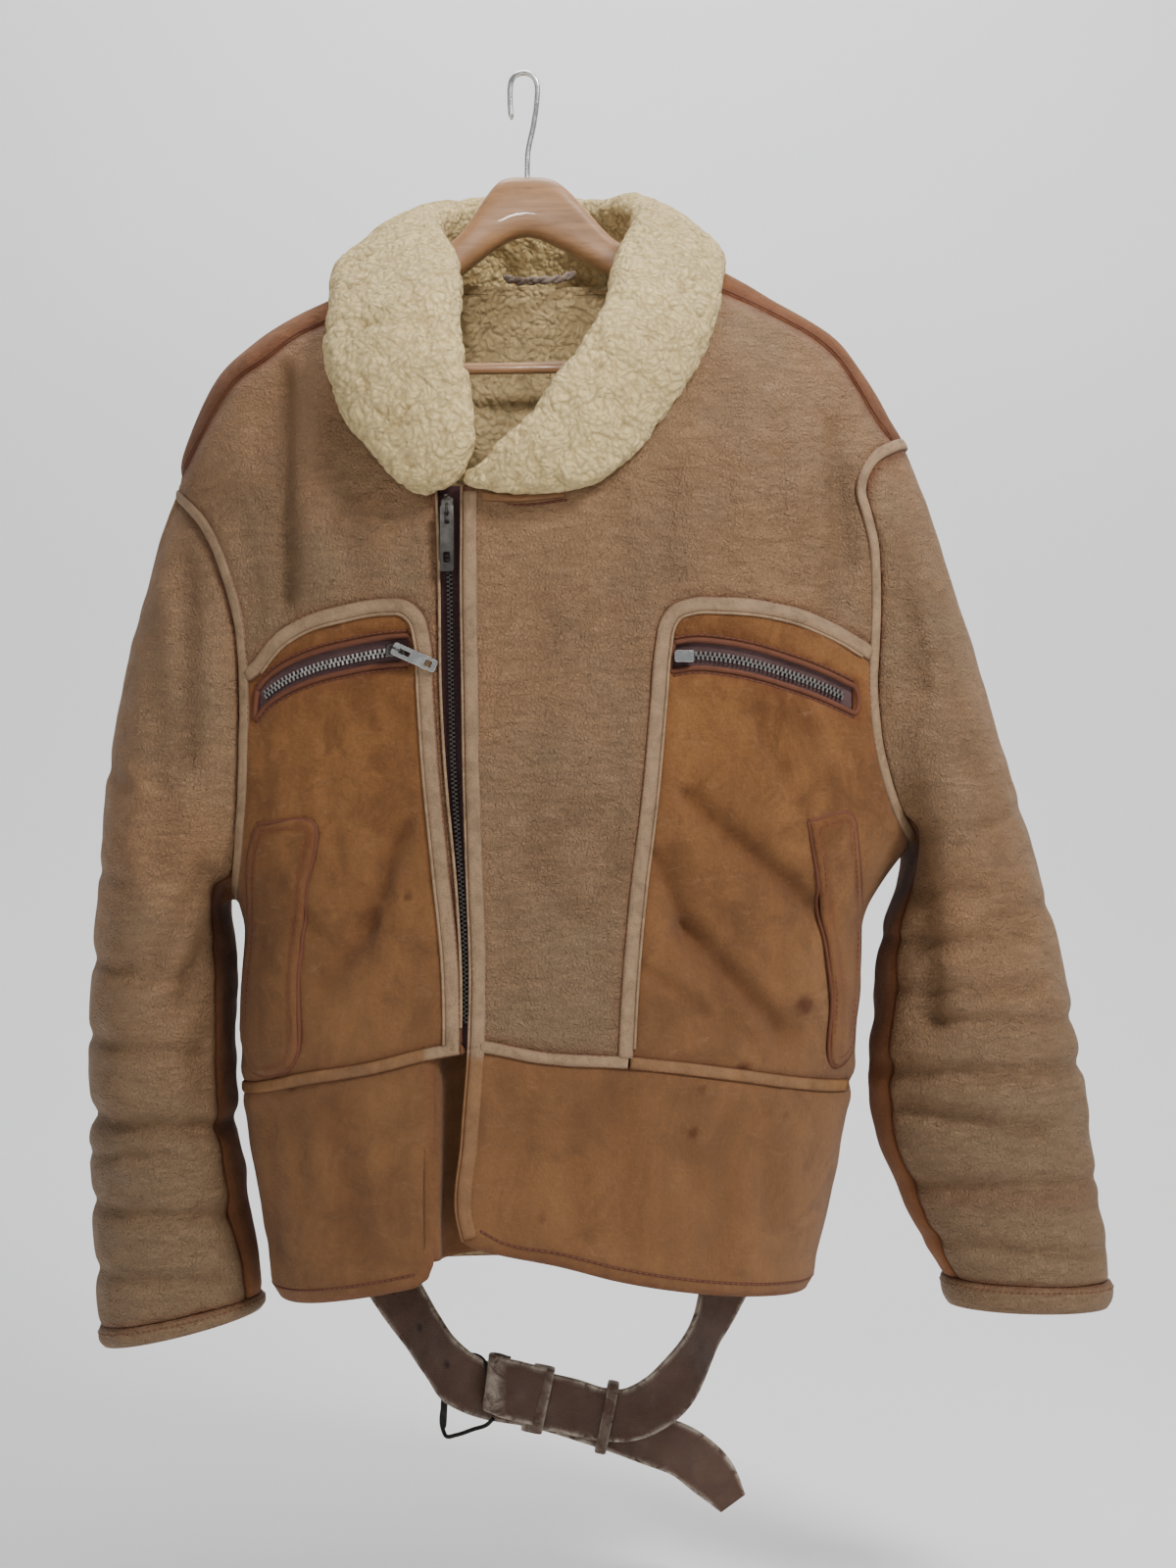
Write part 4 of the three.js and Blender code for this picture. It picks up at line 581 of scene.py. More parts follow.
def add_wall(obj, thick, inner_material, rim_material=None):
    """Gives a sheet its wall, inwards, with the fleece on the inner side."""
    obj.data.materials.append(inner_material)
    obj.data.materials.append(rim_material or obj.data.materials[0])
    wall = obj.modifiers.new("wall", "SOLIDIFY")
    wall.thickness = thick
    wall.offset = -1
    wall.material_offset = 1
    wall.material_offset_rim = 2
    wall.use_even_offset = False
    wall.use_quality_normals = True
    return obj


def finish_piece(obj, nodes, body=JACKET):
    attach(obj, body)
    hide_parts(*nodes)
    return obj


def trim_piece(obj, body=JACKET):
    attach(obj, body)
    return obj


# Materials


class Shader:
    """Builds a material's nodes: each call adds one node and joins what it is given to its sockets."""

    def __init__(self, name):
        self.material = bpy.data.materials.new(name)
        self.material.use_nodes = True
        self.tree = self.material.node_tree
        self.surface = self.tree.nodes["Principled BSDF"]
        self.place = self.add("ShaderNodeTexCoord").outputs["Object"]

    def add(self, kind, inputs=None, **settings):
        node = self.tree.nodes.new(kind)
        for key, value in settings.items():
            setattr(node, key, value)
        for key, value in (inputs or {}).items():
            self.join(value, node.inputs[key])
        return node

    def join(self, value, socket):
        if isinstance(value, bpy.types.NodeSocket):
            self.tree.links.new(value, socket)
        else:
            socket.default_value = value

    def stretched(self, scale):
        return self.add("ShaderNodeMapping", {"Vector": self.place, "Scale": scale}).outputs[0]

    def noise(self, scale, detail=4, rough=0.55, place=None, warp=0.0):
        inputs = {"Vector": place or self.place, "Scale": scale, "Detail": detail, "Roughness": rough,
                  "Distortion": warp}
        return self.add("ShaderNodeTexNoise", inputs).outputs["Fac"]

    def cells(self, scale, feature="DISTANCE_TO_EDGE", place=None):
        inputs = {"Vector": place or self.place, "Scale": scale}
        return self.add("ShaderNodeTexVoronoi", inputs, feature=feature).outputs["Distance"]

    def spread(self, value, low, high, start=0.0, end=1.0):
        node = self.add("ShaderNodeMapRange", {"Value": value, "From Min": low, "From Max": high,
                                               "To Min": start, "To Max": end})
        return node.outputs["Result"]

    def times(self, one, other):
        return self.add("ShaderNodeMath", {0: one, 1: other}, operation="MULTIPLY", use_clamp=True).outputs[0]

    def mix(self, share, one, other):
        node = self.add("ShaderNodeMix", {0: share}, data_type="RGBA")
        for value, socket in ((one, node.inputs[6]), (other, node.inputs[7])):
            self.join((*value, 1.0) if isinstance(value, tuple) and len(value) == 3 else value, socket)
        return node.outputs[2]

    def lay(self, share, other, amount=None):
        """Mixes one more colour over those so far, by a share or by an amount of it."""
        self.colour = self.mix(share if amount is None else self.times(share, amount), self.colour, other)

    def attribute(self, name):
        return self.add("ShaderNodeAttribute", attribute_name=name).outputs["Fac"]

    def bump(self, height, distance, below=None):
        inputs = {"Height": height, "Distance": distance, "Strength": 1.0}
        if below is not None:
            inputs["Normal"] = below
        return self.add("ShaderNodeBump", inputs).outputs["Normal"]

    def done(self, roughness, normal=None, **constants):
        self.join(self.colour, self.surface.inputs["Base Color"])
        self.join(roughness, self.surface.inputs["Roughness"])
        if normal is not None:
            self.join(normal, self.surface.inputs["Normal"])
        for key, value in constants.items():
            self.surface.inputs[key.replace("_", " ")].default_value = value
        return self.material


def tinted(colour, by):
    return tuple(min(1.0, c * by) for c in colour)


MATERIALS = {}


def worn_leather(name, base, grey, seam, tone):
    """Grained leather: base and greyer patches, red-brown along seams, fine cells and creases as bump, and
    painted shade in its folds and in the troughs of its fine wrinkles.
    """
    s = Shader(name)
    patches = s.spread(s.noise(9, 4, 0.6), 0.36, 0.66)
    streaks = s.spread(s.noise(26, 5, 0.65, warp=0.6), 0.35, 0.7)
    s.colour = s.mix(patches, base, grey)
    s.lay(streaks, tinted(base, 0.74), 0.38)
    s.lay(s.spread(s.noise(140, 3, 0.6), 0.5, 0.75), tinted(grey, 1.3), 0.28)
    s.lay(s.times(s.attribute("tone"), tone), tinted(grey, 0.82))
    cracks = s.cells(430, place=s.stretched((1, 1, 0.8)))
    s.lay(s.spread(cracks, 0.0, 0.12, 0.30, 0.0), tinted(base, 0.55))
    edge = s.times(s.attribute("seam"), s.spread(s.noise(70, 3), 0.3, 0.62, 0.45, 1.0))
    s.lay(edge, seam)
    # Real spots and the water stain, and painted shade that darkens the folds
    s.lay(s.attribute("mark"), tinted(base, 0.5))
    normal = s.bump(s.noise(34, 5, 0.62, warp=0.9), 0.0062)
    wrinkles = s.noise(110, 5, 0.7, place=s.stretched((0.6, 0.6, 1.5)), warp=1.4)
    normal = s.bump(wrinkles, 0.0032, normal)
    normal = s.bump(s.noise(380, 4, 0.6), 0.0009, normal)
    normal = s.bump(s.spread(cracks, 0.0, 0.25), 0.00045, normal)
    # Painted shade: darker in the troughs of the fine wrinkles
    s.lay(s.spread(wrinkles, 0.30, 0.5, 0.42, 0.0), tinted(base, 0.55))
    rough = s.spread(s.noise(60, 3), 0.3, 0.7, 0.52, 0.70)
    return s.done(rough, normal, Specular_IOR_Level=0.32)


def napped_suede(name, base, dark, seam, dusty):
    """Suede: cloudy patches of two depths and a fine nap, dark along its seams and in spots, with painted
    shade in its folds.
    """
    s = Shader(name)
    clouds = s.spread(s.noise(13, 5, 0.62, warp=0.4), 0.34, 0.66)
    s.colour = s.mix(clouds, base, dark)
    strokes = s.spread(s.noise(9, 6, 0.7, place=s.stretched((3.0, 3.0, 1.2)), warp=1.2), 0.42, 0.66)
    s.lay(strokes, tinted(base, 1.28), 0.5)
    blots = s.spread(s.noise(32, 6, 0.7, warp=0.9), 0.50, 0.66)
    s.lay(blots, tinted(dark, 0.9), 0.75)
    scuffs = s.spread(s.noise(48, 7, 0.78, place=s.stretched((1.0, 1.0, 2.2)), warp=1.6), 0.55, 0.70)
    s.lay(scuffs, tinted(dusty, 1.7), 0.62)
    speck = s.spread(s.noise(420, 4, 0.7), 0.35, 0.7)
    s.lay(speck, tinted(dark, 0.7), 0.34)
    edge = s.times(s.attribute("seam"), s.spread(s.noise(60, 3), 0.28, 0.6, 0.45, 0.95))
    s.lay(edge, seam)
    # Darker and browner towards the bottom, by the tone attribute
    s.lay(s.attribute("tone"), tinted(dusty, 1.0), 0.55)
    # Real spots, and painted shade that darkens the folds and the fold behind the front
    s.lay(s.attribute("mark"), tinted(seam, 0.5))
    normal = s.bump(s.noise(30, 4, 0.6, warp=0.6), 0.0030)
    normal = s.bump(s.noise(520, 5, 0.75), 0.0011, normal)
    return s.done(0.94, normal, Specular_IOR_Level=0.12, Sheen_Weight=0.08, Sheen_Roughness=0.5)


def fleece(name, light, shade, fine):
    """Curly fleece: shaded between its curls, from the curl attribute, with locks and fibres as bump."""
    s = Shader(name)
    tone = s.spread(s.noise(14, 4, 0.6), 0.3, 0.7)
    s.colour = s.mix(s.times(tone, 0.6), light, tinted(light, 0.74))
    s.lay(s.spread(s.attribute("curl"), 0.08, 0.62, 0.95, 0.0), shade)
    locks = s.cells(fine * 0.55, "F1", place=s.add("ShaderNodeVectorMath", {
        0: s.place, 1: s.add("ShaderNodeVectorMath", {0: s.add("ShaderNodeTexNoise", {
            "Vector": s.place, "Scale": 60.0}).outputs["Color"], 1: (0.012, 0.012, 0.012)},
            operation="MULTIPLY").outputs[0]}, operation="ADD").outputs[0])
    s.lay(s.spread(locks, 0.45, 0.9, 0.0, 0.55), shade)
    fibres = s.noise(fine, 5, 0.75, warp=1.6)
    s.lay(s.spread(fibres, 0.4, 0.7, 0.0, 0.3), shade)
    normal = s.bump(s.spread(locks, 0.1, 0.9, 1.0, 0.0), 0.0042)
    normal = s.bump(fibres, 0.0013, normal)
    return s.done(0.96, normal, Specular_IOR_Level=0.1, Sheen_Weight=0.2, Sheen_Roughness=0.6)


def worn_strap(name, base, pale, seam, amount, other=None):
    """Leather strap or tape: scuffed where rubbed, darker in patches; tone turns it to the other colour."""
    s = Shader(name)
    patches = s.spread(s.noise(34, 5, 0.65, warp=0.5), 0.35, 0.68)
    s.colour = s.mix(patches, base, tinted(base, 0.7))
    if other:
        brown = s.mix(patches, other, tinted(other, 0.62))
        s.lay(s.attribute("tone"), brown)
    rubbed = s.times(s.spread(s.noise(90, 5, 0.7, warp=0.8), 0.38, 0.6), s.attribute("rub"))
    s.lay(s.times(rubbed, amount), pale)
    # Painted shade: the seam attribute darkens the tapes' stitched edges, the belt's groove and its holes
    s.lay(s.attribute("seam"), seam)
    normal = s.bump(s.noise(120, 5, 0.65, warp=1.0), 0.0007)
    normal = s.bump(s.spread(s.cells(600), 0.0, 0.25), 0.0002, normal)
    return s.done(s.spread(s.noise(80), 0.3, 0.7, 0.5, 0.78), normal, Specular_IOR_Level=0.35)


def woven_tape(name, base):
    """Herringbone zip tape: two fine waves crossing."""
    s = Shader(name)
    one = s.add("ShaderNodeTexWave", {"Vector": s.place, "Scale": 420.0, "Distortion": 0.4},
                bands_direction="Z")
    weave = s.times(one.outputs["Fac"], s.spread(s.noise(600, 2), 0.3, 0.7, 0.5, 1.0))
    s.colour = s.mix(s.times(weave, 0.4), base, tinted(base, 2.0))
    s.lay(s.spread(s.noise(30, 4), 0.45, 0.75, 0.0, 0.35), tinted(base, 2.6))
    return s.done(0.88, s.bump(weave, 0.0004), Specular_IOR_Level=0.2)


def plain_thread(name, base):
    s = Shader(name)
    s.colour = s.mix(s.noise(150, 3), base, tinted(base, 1.7))
    return s.done(0.8, s.bump(s.noise(1500, 2), 0.0002))


def aged_metal(name, base, roughness, dull):
    """Metal with tarnish: brightness and roughness follow two sizes of noise."""
    s = Shader(name)
    tarnish = s.spread(s.noise(160, 5, 0.65), 0.35, 0.7)
    s.colour = s.mix(s.times(tarnish, dull), base, tinted(base, 0.32))
    rough = s.spread(tarnish, 0.0, 1.0, roughness, min(1.0, roughness + 0.25))
    return s.done(rough, s.bump(s.noise(900, 3), 0.00006), Metallic=1.0)


def varnished_wood(name, base):
    """Beech: long grain lines along the arm, pores as short dark streaks, a thin varnish."""
    s = Shader(name)
    grain = s.noise(40, 6, 0.7, place=s.stretched((0.5, 3.0, 4.0)), warp=0.5)
    s.colour = s.mix(s.spread(grain, 0.32, 0.7), tinted(base, 1.18), tinted(base, 0.7))
    pores = s.noise(260, 3, 0.6, place=s.stretched((0.12, 1.0, 1.0)))
    s.lay(s.spread(pores, 0.58, 0.7, 0.0, 0.5), tinted(base, 0.42))
    return s.done(s.spread(grain, 0.3, 0.7, 0.36, 0.52), s.bump(pores, 0.0002), Coat_Weight=0.15)


def make_materials(colours):
    c = {key: tuple(getattr(colours, key)) for key in JacketColours.__annotations__}
    MATERIALS.update({
        "leather": worn_leather("worn leather", c["leather"], c["leather_grey"], c["seam"], 0.9),
        "suede": napped_suede("golden suede", c["suede"], c["suede_dark"], c["seam"], c["suede_dusty"]),
        "shoulder": napped_suede("shoulder suede", c["shoulder"], tinted(c["shoulder"], 0.6),
                                 tinted(c["seam"], 0.7), c["shoulder"]),
        "fleece": fleece("collar fleece", c["fleece"], (0.50, 0.32, 0.11), 420),
        "lining": fleece("lining fleece", c["lining"], tinted(c["lining"], 0.62), 360),
        "tape": worn_strap("seam tape", c["tape"], tinted(c["tape"], 1.55), tinted(c["seam"], 0.55), 0.6,
                           tinted(c["suede"], 0.85)),
        "belt": worn_strap("belt leather", c["belt"], (0.46, 0.39, 0.31), tinted(c["belt"], 0.35), 0.95),
        "zip_tape": woven_tape("main zip tape", c["zip_tape"]),
        "pocket_zip_tape": woven_tape("pocket zip tape", (0.105, 0.060, 0.058)),
        "thread": plain_thread("red-brown thread", tinted(c["seam"], 0.8)),
        # A dark ribbon for the painted shadow of the stitched grooves
        "crease": plain_thread("stitched crease", tinted(c["seam"], 0.42)),
        "rim": plain_thread("turned rim", tinted(c["seam"], 0.6)),
        "dark_metal": aged_metal("dulled zip metal", (0.115, 0.105, 0.095), 0.30, 0.6),
        "tooth_metal": aged_metal("zip teeth", (0.42, 0.40, 0.37), 0.30, 0.6),
        "bright_metal": aged_metal("bright metal", (0.80, 0.79, 0.76), 0.16, 0.3),
        "black_metal": aged_metal("black wire", (0.035, 0.032, 0.03), 0.4, 0.5),
        "wood": varnished_wood("hanger wood", c["wood"]),
    })


# Cloth panels of the body


def armhole_edge(line, side):
    return [(x + side * TAPE_WIDTH / 2, z) for x, z in line]


def window_outline(top):
    return list(top) + [(x, z - WINDOW_TALL) for x, z in reversed(top)]


def front_regions():
    """Outlines that tell the front's panels apart, each closed outside the body where it doesn't show."""
    far = 400
    s = {name: smooth_line(line).tolist() for name, line in (
        ("yoke_r", YOKE_RIGHT), ("yoke_l", YOKE_LEFT), ("pocket_r", POCKET_RIGHT), ("pocket_l", POCKET_LEFT),
        ("waist_r", WAIST_RIGHT), ("waist_l", WAIST_LEFT), ("arm_r", armhole_edge(ARMHOLE_RIGHT, -1)),
        ("arm_l", armhole_edge(ARMHOLE_LEFT, 1)), ("hem_r", HEM_RIGHT), ("hem_l", HEM_LEFT),
        ("zip", ZIP_EDGE), ("free", FREE_EDGE), ("neck_r", NECK_RIGHT), ("neck_l", NECK_LEFT))}
    closed = {
        "yoke_r": s["yoke_r"] + [(-far, -290), (-far, 0), (-70, 0)],
        "yoke_l": s["yoke_l"] + [(far, -264), (far, 0), (70, 0)],
        "pocket_r": s["pocket_r"] + [(-far, -690), (-far, -430)],
        "pocket_l": s["pocket_l"] + [(far, -690), (far, -424)],
        "waist_r": s["waist_r"] + [(-20, -950), (-far, -950), (-far, -696)],
        "waist_l": s["waist_l"] + [(far, -694), (far, -950), (-60, -950)],
        "arm_r": s["arm_r"] + [(-far, -590), (-far, -276)],
        "arm_l": s["arm_l"] + [(far, -545), (far, -244)],
        "hem_r": s["hem_r"] + [(-260, -950), (-50, -950), (-50, -806)],
        "hem_l": s["hem_l"] + [(260, -950), (-50, -950), (-50, -781)],
        "gap": s["zip"] + BAND_EDGE + [(-69, -950), (-28, -950)] + s["free"][::-1],
        "neck": [(-88, -60)] + s["neck_r"] + s["neck_l"][::-1] + [(90, -60)],
    }
    return s, closed


def body_grid(step):
    """Turns evenly spaced round the body at chest height, starting behind, and heights from neck to hem."""
    turn = np.linspace(-np.pi, np.pi, 6001)
    x, y = body_turned(turn, -450.0)
    length = np.concatenate([[0], np.cumsum(np.hypot(np.diff(x), np.diff(y)))])
    turns = np.interp(np.linspace(0, length[-1], int(length[-1] / step) + 1), length, turn)
    heights = np.linspace(FORM_TOP, CLOTH_FOOT, int(CLOTH_TALL / step) + 1)
    return turns, heights


SIDE_TURN = np.radians(92)


def panel_masks():
    """For each panel, a test of places (x, z, in front or behind), and the lines that bound it there."""
    smooth, closed = front_regions()
    windows = {"r": window_outline(smooth_line(WINDOW_RIGHT).tolist()),
               "l": window_outline(smooth_line(WINDOW_LEFT).tolist())}
    centre = np.array(CENTRE[::-1], float)

    def wearer_right(x, z):
        return x < np.interp(z, centre[:, 1], centre[:, 0])

    def front_panel(half, kind):
        def test(x, z, front):
            keep = front & ~in_outline(x, z, closed["gap"]) & ~in_outline(x, z, closed["neck"])
            keep &= wearer_right(x, z) if half == "r" else ~wearer_right(x, z)
            for name in ("yoke_", "arm_", "hem_"):
                keep &= ~in_outline(x, z, closed[name + half])
            below = in_outline(x, z, closed["waist_" + half])
            pocket = in_outline(x, z, closed["pocket_" + half])
            if kind == "band":
                return keep & below
            if kind == "pocket":
                return keep & ~below & pocket & ~in_outline(x, z, windows[half])
            return keep & ~below & ~pocket
        edges = {
            "chest": ["yoke_", "arm_", "pocket_", "waist_", "neck_"],
            "pocket": ["arm_", "pocket_", "waist_"],
            "band": ["waist_", "hem_"],
        }[kind]
        lines = [smooth[name + half] for name in edges]
        if kind == "pocket":
            lines.append(windows[half] + windows[half][:1])
        lines += [smooth["zip"], BAND_EDGE] if half == "r" else [smooth["free"]]
        return test, (lines, lines)

    def back_panel(half):
        side = -1 if half == "r" else 1
        outside = [(BACK_SEAM_X, -60), (BACK_SEAM_X, BACK_WAIST_Z)]
        waist = [(-300, BACK_WAIST_Z), (300, BACK_WAIST_Z)]

        def test(x, z, front):
            keep = ~in_outline(x, z, closed["arm_" + half])
            over = front & in_outline(x, z, closed["yoke_" + half]) & ~in_outline(x, z, closed["neck"])
            behind = ~front & ~in_outline(x, z, NECK_BACK + [(90, -60), (-88, -60)]) & (z > BACK_WAIST_Z)
            behind &= (x - BACK_SEAM_X) * side > 0
            over &= x * side > 0
            return keep & (over | behind)
        return test, ([smooth["yoke_" + half], smooth["arm_" + half], smooth["neck_" + half]],
                      [smooth["arm_" + half], NECK_BACK, outside, waist])

    def back_band():
        def test(x, z, front):
            return ~front & (z < BACK_WAIST_Z) & (z > BACK_HEM_Z)
        lines = [[(-300, height), (300, height)] for height in (BACK_WAIST_Z, BACK_HEM_Z)]
        return test, (lines, lines)

    masks = {}
    for piece, kind, finish in (("chest", "chest", "leather"), ("pocket_panel", "pocket", "suede"),
                                ("hem_band", "band", "suede")):
        for side in ("right", "left"):
            masks[f"{piece}_{side}"] = (*front_panel(side[0], kind), finish)
    for side in ("right", "left"):
        masks[f"back_{side}"] = (*back_panel(side[0]), "shoulder")
    masks["hem_band_back"] = (*back_band(), "suede")
    return masks


def panel_relief(points, x, z, front, away):
    """How far the skin stands out: it dips at seams, follows the creases and swells a little between."""
    dip = -1.6 * bell(away, 4.0) + 1.3 * bell(away, 7.0, 11)
    fine = np.where(front, crease_depth(x, z, FINE_CREASES), 0)
    calm = 1 - np.exp(-away / 22)
    unevenness = waves(points, 95, 3) * 1.5 * calm + waves(points, 34, 4) * 0.45 * calm
    return dip - fine + unevenness


def lower_browning(z):
    """How much browner and darker the suede is: not at all above the pockets, and most low down."""
    return np.clip((-430 - z) / 250, 0, 1) * 0.75


def spot_marks(x, z, front):
    """Small dark spots: one inside each spot's radius, fading just outside it."""
    mark = np.zeros(len(x))
    for sx, sz, radius in SPOTS:
        mark = np.maximum(mark, np.clip((radius + 1.5 - np.hypot(x - sx, z - sz)) / 3, 0, 1))
    return np.where(front, mark * 0.8, 0)


def heart_stain(x, z):
    """A faint water mark with a darker rim, on the wearer's left chest: two round lobes over a point."""
    u = (x - 36.5) / 28
    v = (z + 532) / 32
    shape = (u * u + v * v - 1) ** 3 - u * u * v**3
    return 0.5 * bell(shape, 0.3) * (np.hypot(u, v) < 1.7)


def make_panel(name, test, lines, kind, step, skin):
    turns, heights = body_grid(step)
    turn, z = np.meshgrid(turns, heights)
    x, _ = body_turned(turn, z)
    quads = grid_faces(*turn.shape)
    flat_turn, flat_x, flat_z = turn.ravel(), x.ravel(), z.ravel()
    cell_turn, cell_x, cell_z = (v[quads].mean(axis=1) for v in (flat_turn, flat_x, flat_z))
    quads = quads[test(cell_x, cell_z, np.abs(cell_turn) < SIDE_TURN)]
    if len(quads) == 0:
        raise RuntimeError(f"no cloth for {name}")
    quads, used, edge = used_only(quads, flat_x.size)
    px, pz, pt = flat_x[used], flat_z[used], flat_turn[used]
    (away, near), (away_behind, near_behind) = (nearest_on_lines(px, pz, which) for which in lines)
    behind = np.abs(pt) >= SIDE_TURN
    away = np.where(behind, away_behind, away)
    near = np.where(behind[:, None], near_behind, near)
    snap = edge & (away < step * 1.5)
    middle, half, _, _ = section(near[:, 1])
    ratio = np.clip((near[:, 0] - middle) / half, -1, 1)
    bent = np.arcsin(np.sign(ratio) * np.abs(ratio) ** (SQUARENESS / 2))
    bent = np.where(np.abs(pt) > np.pi / 2, np.where(bent >= 0, np.pi - bent, -np.pi - bent), bent)
    old_x, old_y = body_turned(pt, pz)
    new_x, new_y = body_turned(bent, near[:, 1])
    moved_far = np.sqrt((new_x - old_x) ** 2 + (new_y - old_y) ** 2 + (near[:, 1] - pz) ** 2)
    snap &= moved_far < step * 1.7
    pt = np.where(snap, bent, pt)
    pz = np.where(snap, near[:, 1], pz)
    px, py = body_turned(pt, pz)
    front = np.abs(pt) < SIDE_TURN
    away = np.where(snap, 0, away)
    normals = body_normal(px, py, pz)
    points = np.stack([px, py, pz], -1)
    trough = np.where(front, crease_depth(px, pz, CREASES), 0)
    out = panel_relief(points, px, pz, front, away) - trough
    points = points + normals * out[:, None]
    quads = faced(points, quads, normals)
    mark = spot_marks(px, pz, front)
    if name == "chest_left":
        mark = np.maximum(mark, heart_stain(px, pz))
    # Painted shade: the deeper the folds and creases, the darker the skin, laid over the real spots and stain
    folded = trough + np.where(front, crease_depth(px, pz, FINE_CREASES), 0)
    mark = np.maximum(mark, np.clip(folded / 16, 0, 0.42))
    values = {"seam": np.exp(-((away / 5.5) ** 1.3)), "mark": mark, "tone": lower_browning(pz)}
    obj = put_mesh(name, points, [quads], MATERIALS[kind], values=values)
    return add_wall(obj, skin, MATERIALS["lining"], MATERIALS[kind])


LEAST_STATED_WIDTH = 10.1


def cut_strip(width):
    """A straight strip's cut width: its width over the crown, or the least stated; it is worked out and not
    used.
    """
    width = max(LEAST_STATED_WIDTH, width)


def make_body_panels(sizes):
    for name, (test, lines, kind) in panel_masks().items():
        obj = make_panel(name, test, lines, kind, sizes.cloth_step / MM, sizes.skin)
        finish_piece(obj, [name])


def put_strip(name, line, width, height, front, tone):
    """A tape on the skin: across it the height is a rounded crown that falls to stitched edges."""
    place, normal, _, across = laid_frame(line, front)
    c = np.linspace(-1, 1, 15)
    crown = height * (1 - np.abs(c) ** 3.2) ** 0.6
    across_c = np.concatenate([c, [1.0, -1.0]]) * width / 2
    heights = np.concatenate([0.25 + crown, [-0.6, -0.6]])
    rings = rings_on(place, across, normal, across_c, heights)
    rings = rings + normal[:, None] * (waves(place, 28, 7) * 0.25)[:, None, None]
    points, faces = closed_sweep(rings)
    # Painted shade: the tape darkens towards its edges, as the shadow of its stitched grooves
    shade = np.concatenate([np.clip((np.abs(c) - 0.78) / 0.2, 0, 1) * 0.9, [0.9, 0.9]])
    rub = np.concatenate([np.clip(1 - np.abs(c) ** 2, 0, 1), [0, 0]])
    rows = len(place)
    browned = tone(place)
    rubbed = np.tile(rub, rows) * (1 - 0.85 * np.repeat(browned, len(shade)))
    values = {"seam": np.tile(shade, rows), "rub": rubbed, "tone": np.repeat(browned, len(shade))}
    obj = put_mesh(name, points, faces, MATERIALS["tape"], values=values)
    cut_strip(width + 2 * height * 0.6)
    return obj


def laid_frame(line, front=True, out=0.0, step=2.6, away=4.5):
    """Places along a line on the cloth, this far from its seam, with the normal, the way along and across."""
    flat = smooth_line(line, step)
    place, normal = body_at(flat[:, 0], flat[:, 1], out, front)
    plain = np.stack([place[:, 0], body_depth(place[:, 0], flat[:, 1], front), flat[:, 1]], -1)
    relief = panel_relief(plain, plain[:, 0], flat[:, 1], front, np.full(len(flat), away))
    place = place + normal * relief[:, None]
    forwards = ways_along(place)
    across = unit(np.cross(forwards, normal))
    return place, normal, forwards, across


STITCH_RINGS = np.array([-0.5, -0.3, 0.3, 0.5])
STITCH_REACH = np.array([0.3, 1.0, 1.0, 0.3])
# Share of the pitch that one stitch fills
STITCH_LONG = 0.66


def stitch_run(place, normal, forwards, across, pitch, offset, lift, radius=0.42):
    """Small rounded bars in even steps along a path: four rings of four corners, turned to each place."""
    place = place + across * offset
    length = path_length(place)
    count = max(1, int(length[-1] / pitch))
    at = (np.arange(count) + 0.5) * length[-1] / count
    middle, *ways = read_along(length, at, place, normal, forwards, across)
    up, ahead, beside = (unit(way) for way in ways)
    turn = np.arange(4) * TAU / 4
    a = (STITCH_RINGS * pitch * STITCH_LONG)[:, None] + 0 * turn
    b = STITCH_REACH[:, None] * np.cos(turn) * radius
    c = STITCH_REACH[:, None] * np.sin(turn) * radius * 0.8
    shape = (ahead[:, None, None] * a[None, ..., None] + beside[:, None, None] * b[None, ..., None]
             + up[:, None, None] * (c[None, ..., None] + lift))
    return (middle[:, None, None] + shape).reshape(count, 16, 3)


def put_stitches(name, runs):
    """Joins runs of stitches into one mesh."""
    points = np.concatenate(runs)
    quads = grid_faces(4, 4, wrap=True)
    caps = np.array([[3, 2, 1, 0], [12, 13, 14, 15]])
    one = closed_faced(points[0], np.concatenate([quads, caps]))
    faces = (np.arange(len(points))[:, None, None] * 16 + one[None]).reshape(-1, 4)
    return trim_piece(put_mesh(name, points.reshape(-1, 3), [faces], MATERIALS["thread"]))


def line_part(line, low, high, axis=1):
    """The stretch of a line between two heights, or two x places with axis 0."""
    p = smooth_line(line, 1.5)
    inside = p[(p[:, axis] >= low) & (p[:, axis] <= high)]
    return inside[np.unique(np.append(np.arange(0, len(inside), 3), len(inside) - 1))].tolist()


def to_sides(line):
    """The stretch of a line that lies on the body, up to its outline from the front."""
    p = smooth_line(line, 0.2)
    middle, half, _, _ = section(p[:, 1])
    inside = p[np.abs(p[:, 0] - middle) < half * 0.9995]
    return inside[np.unique(np.append(np.arange(0, len(inside), 22), len(inside) - 1))].tolist()


def moved(line, dx, dz=0.0):
    return [(x + dx, z + dz) for x, z in line]


TAPE_TONES = {
    "tape": lambda place: np.zeros(len(place)),
    "brown": lambda place: np.full(len(place), 0.9),
    "binding": lambda place: np.clip((-655 - place[:, 2]) / 6, 0, 0.9),
    "waist": lambda place: np.clip((-60 - place[:, 0]) / 3, 0, 0.9),
}


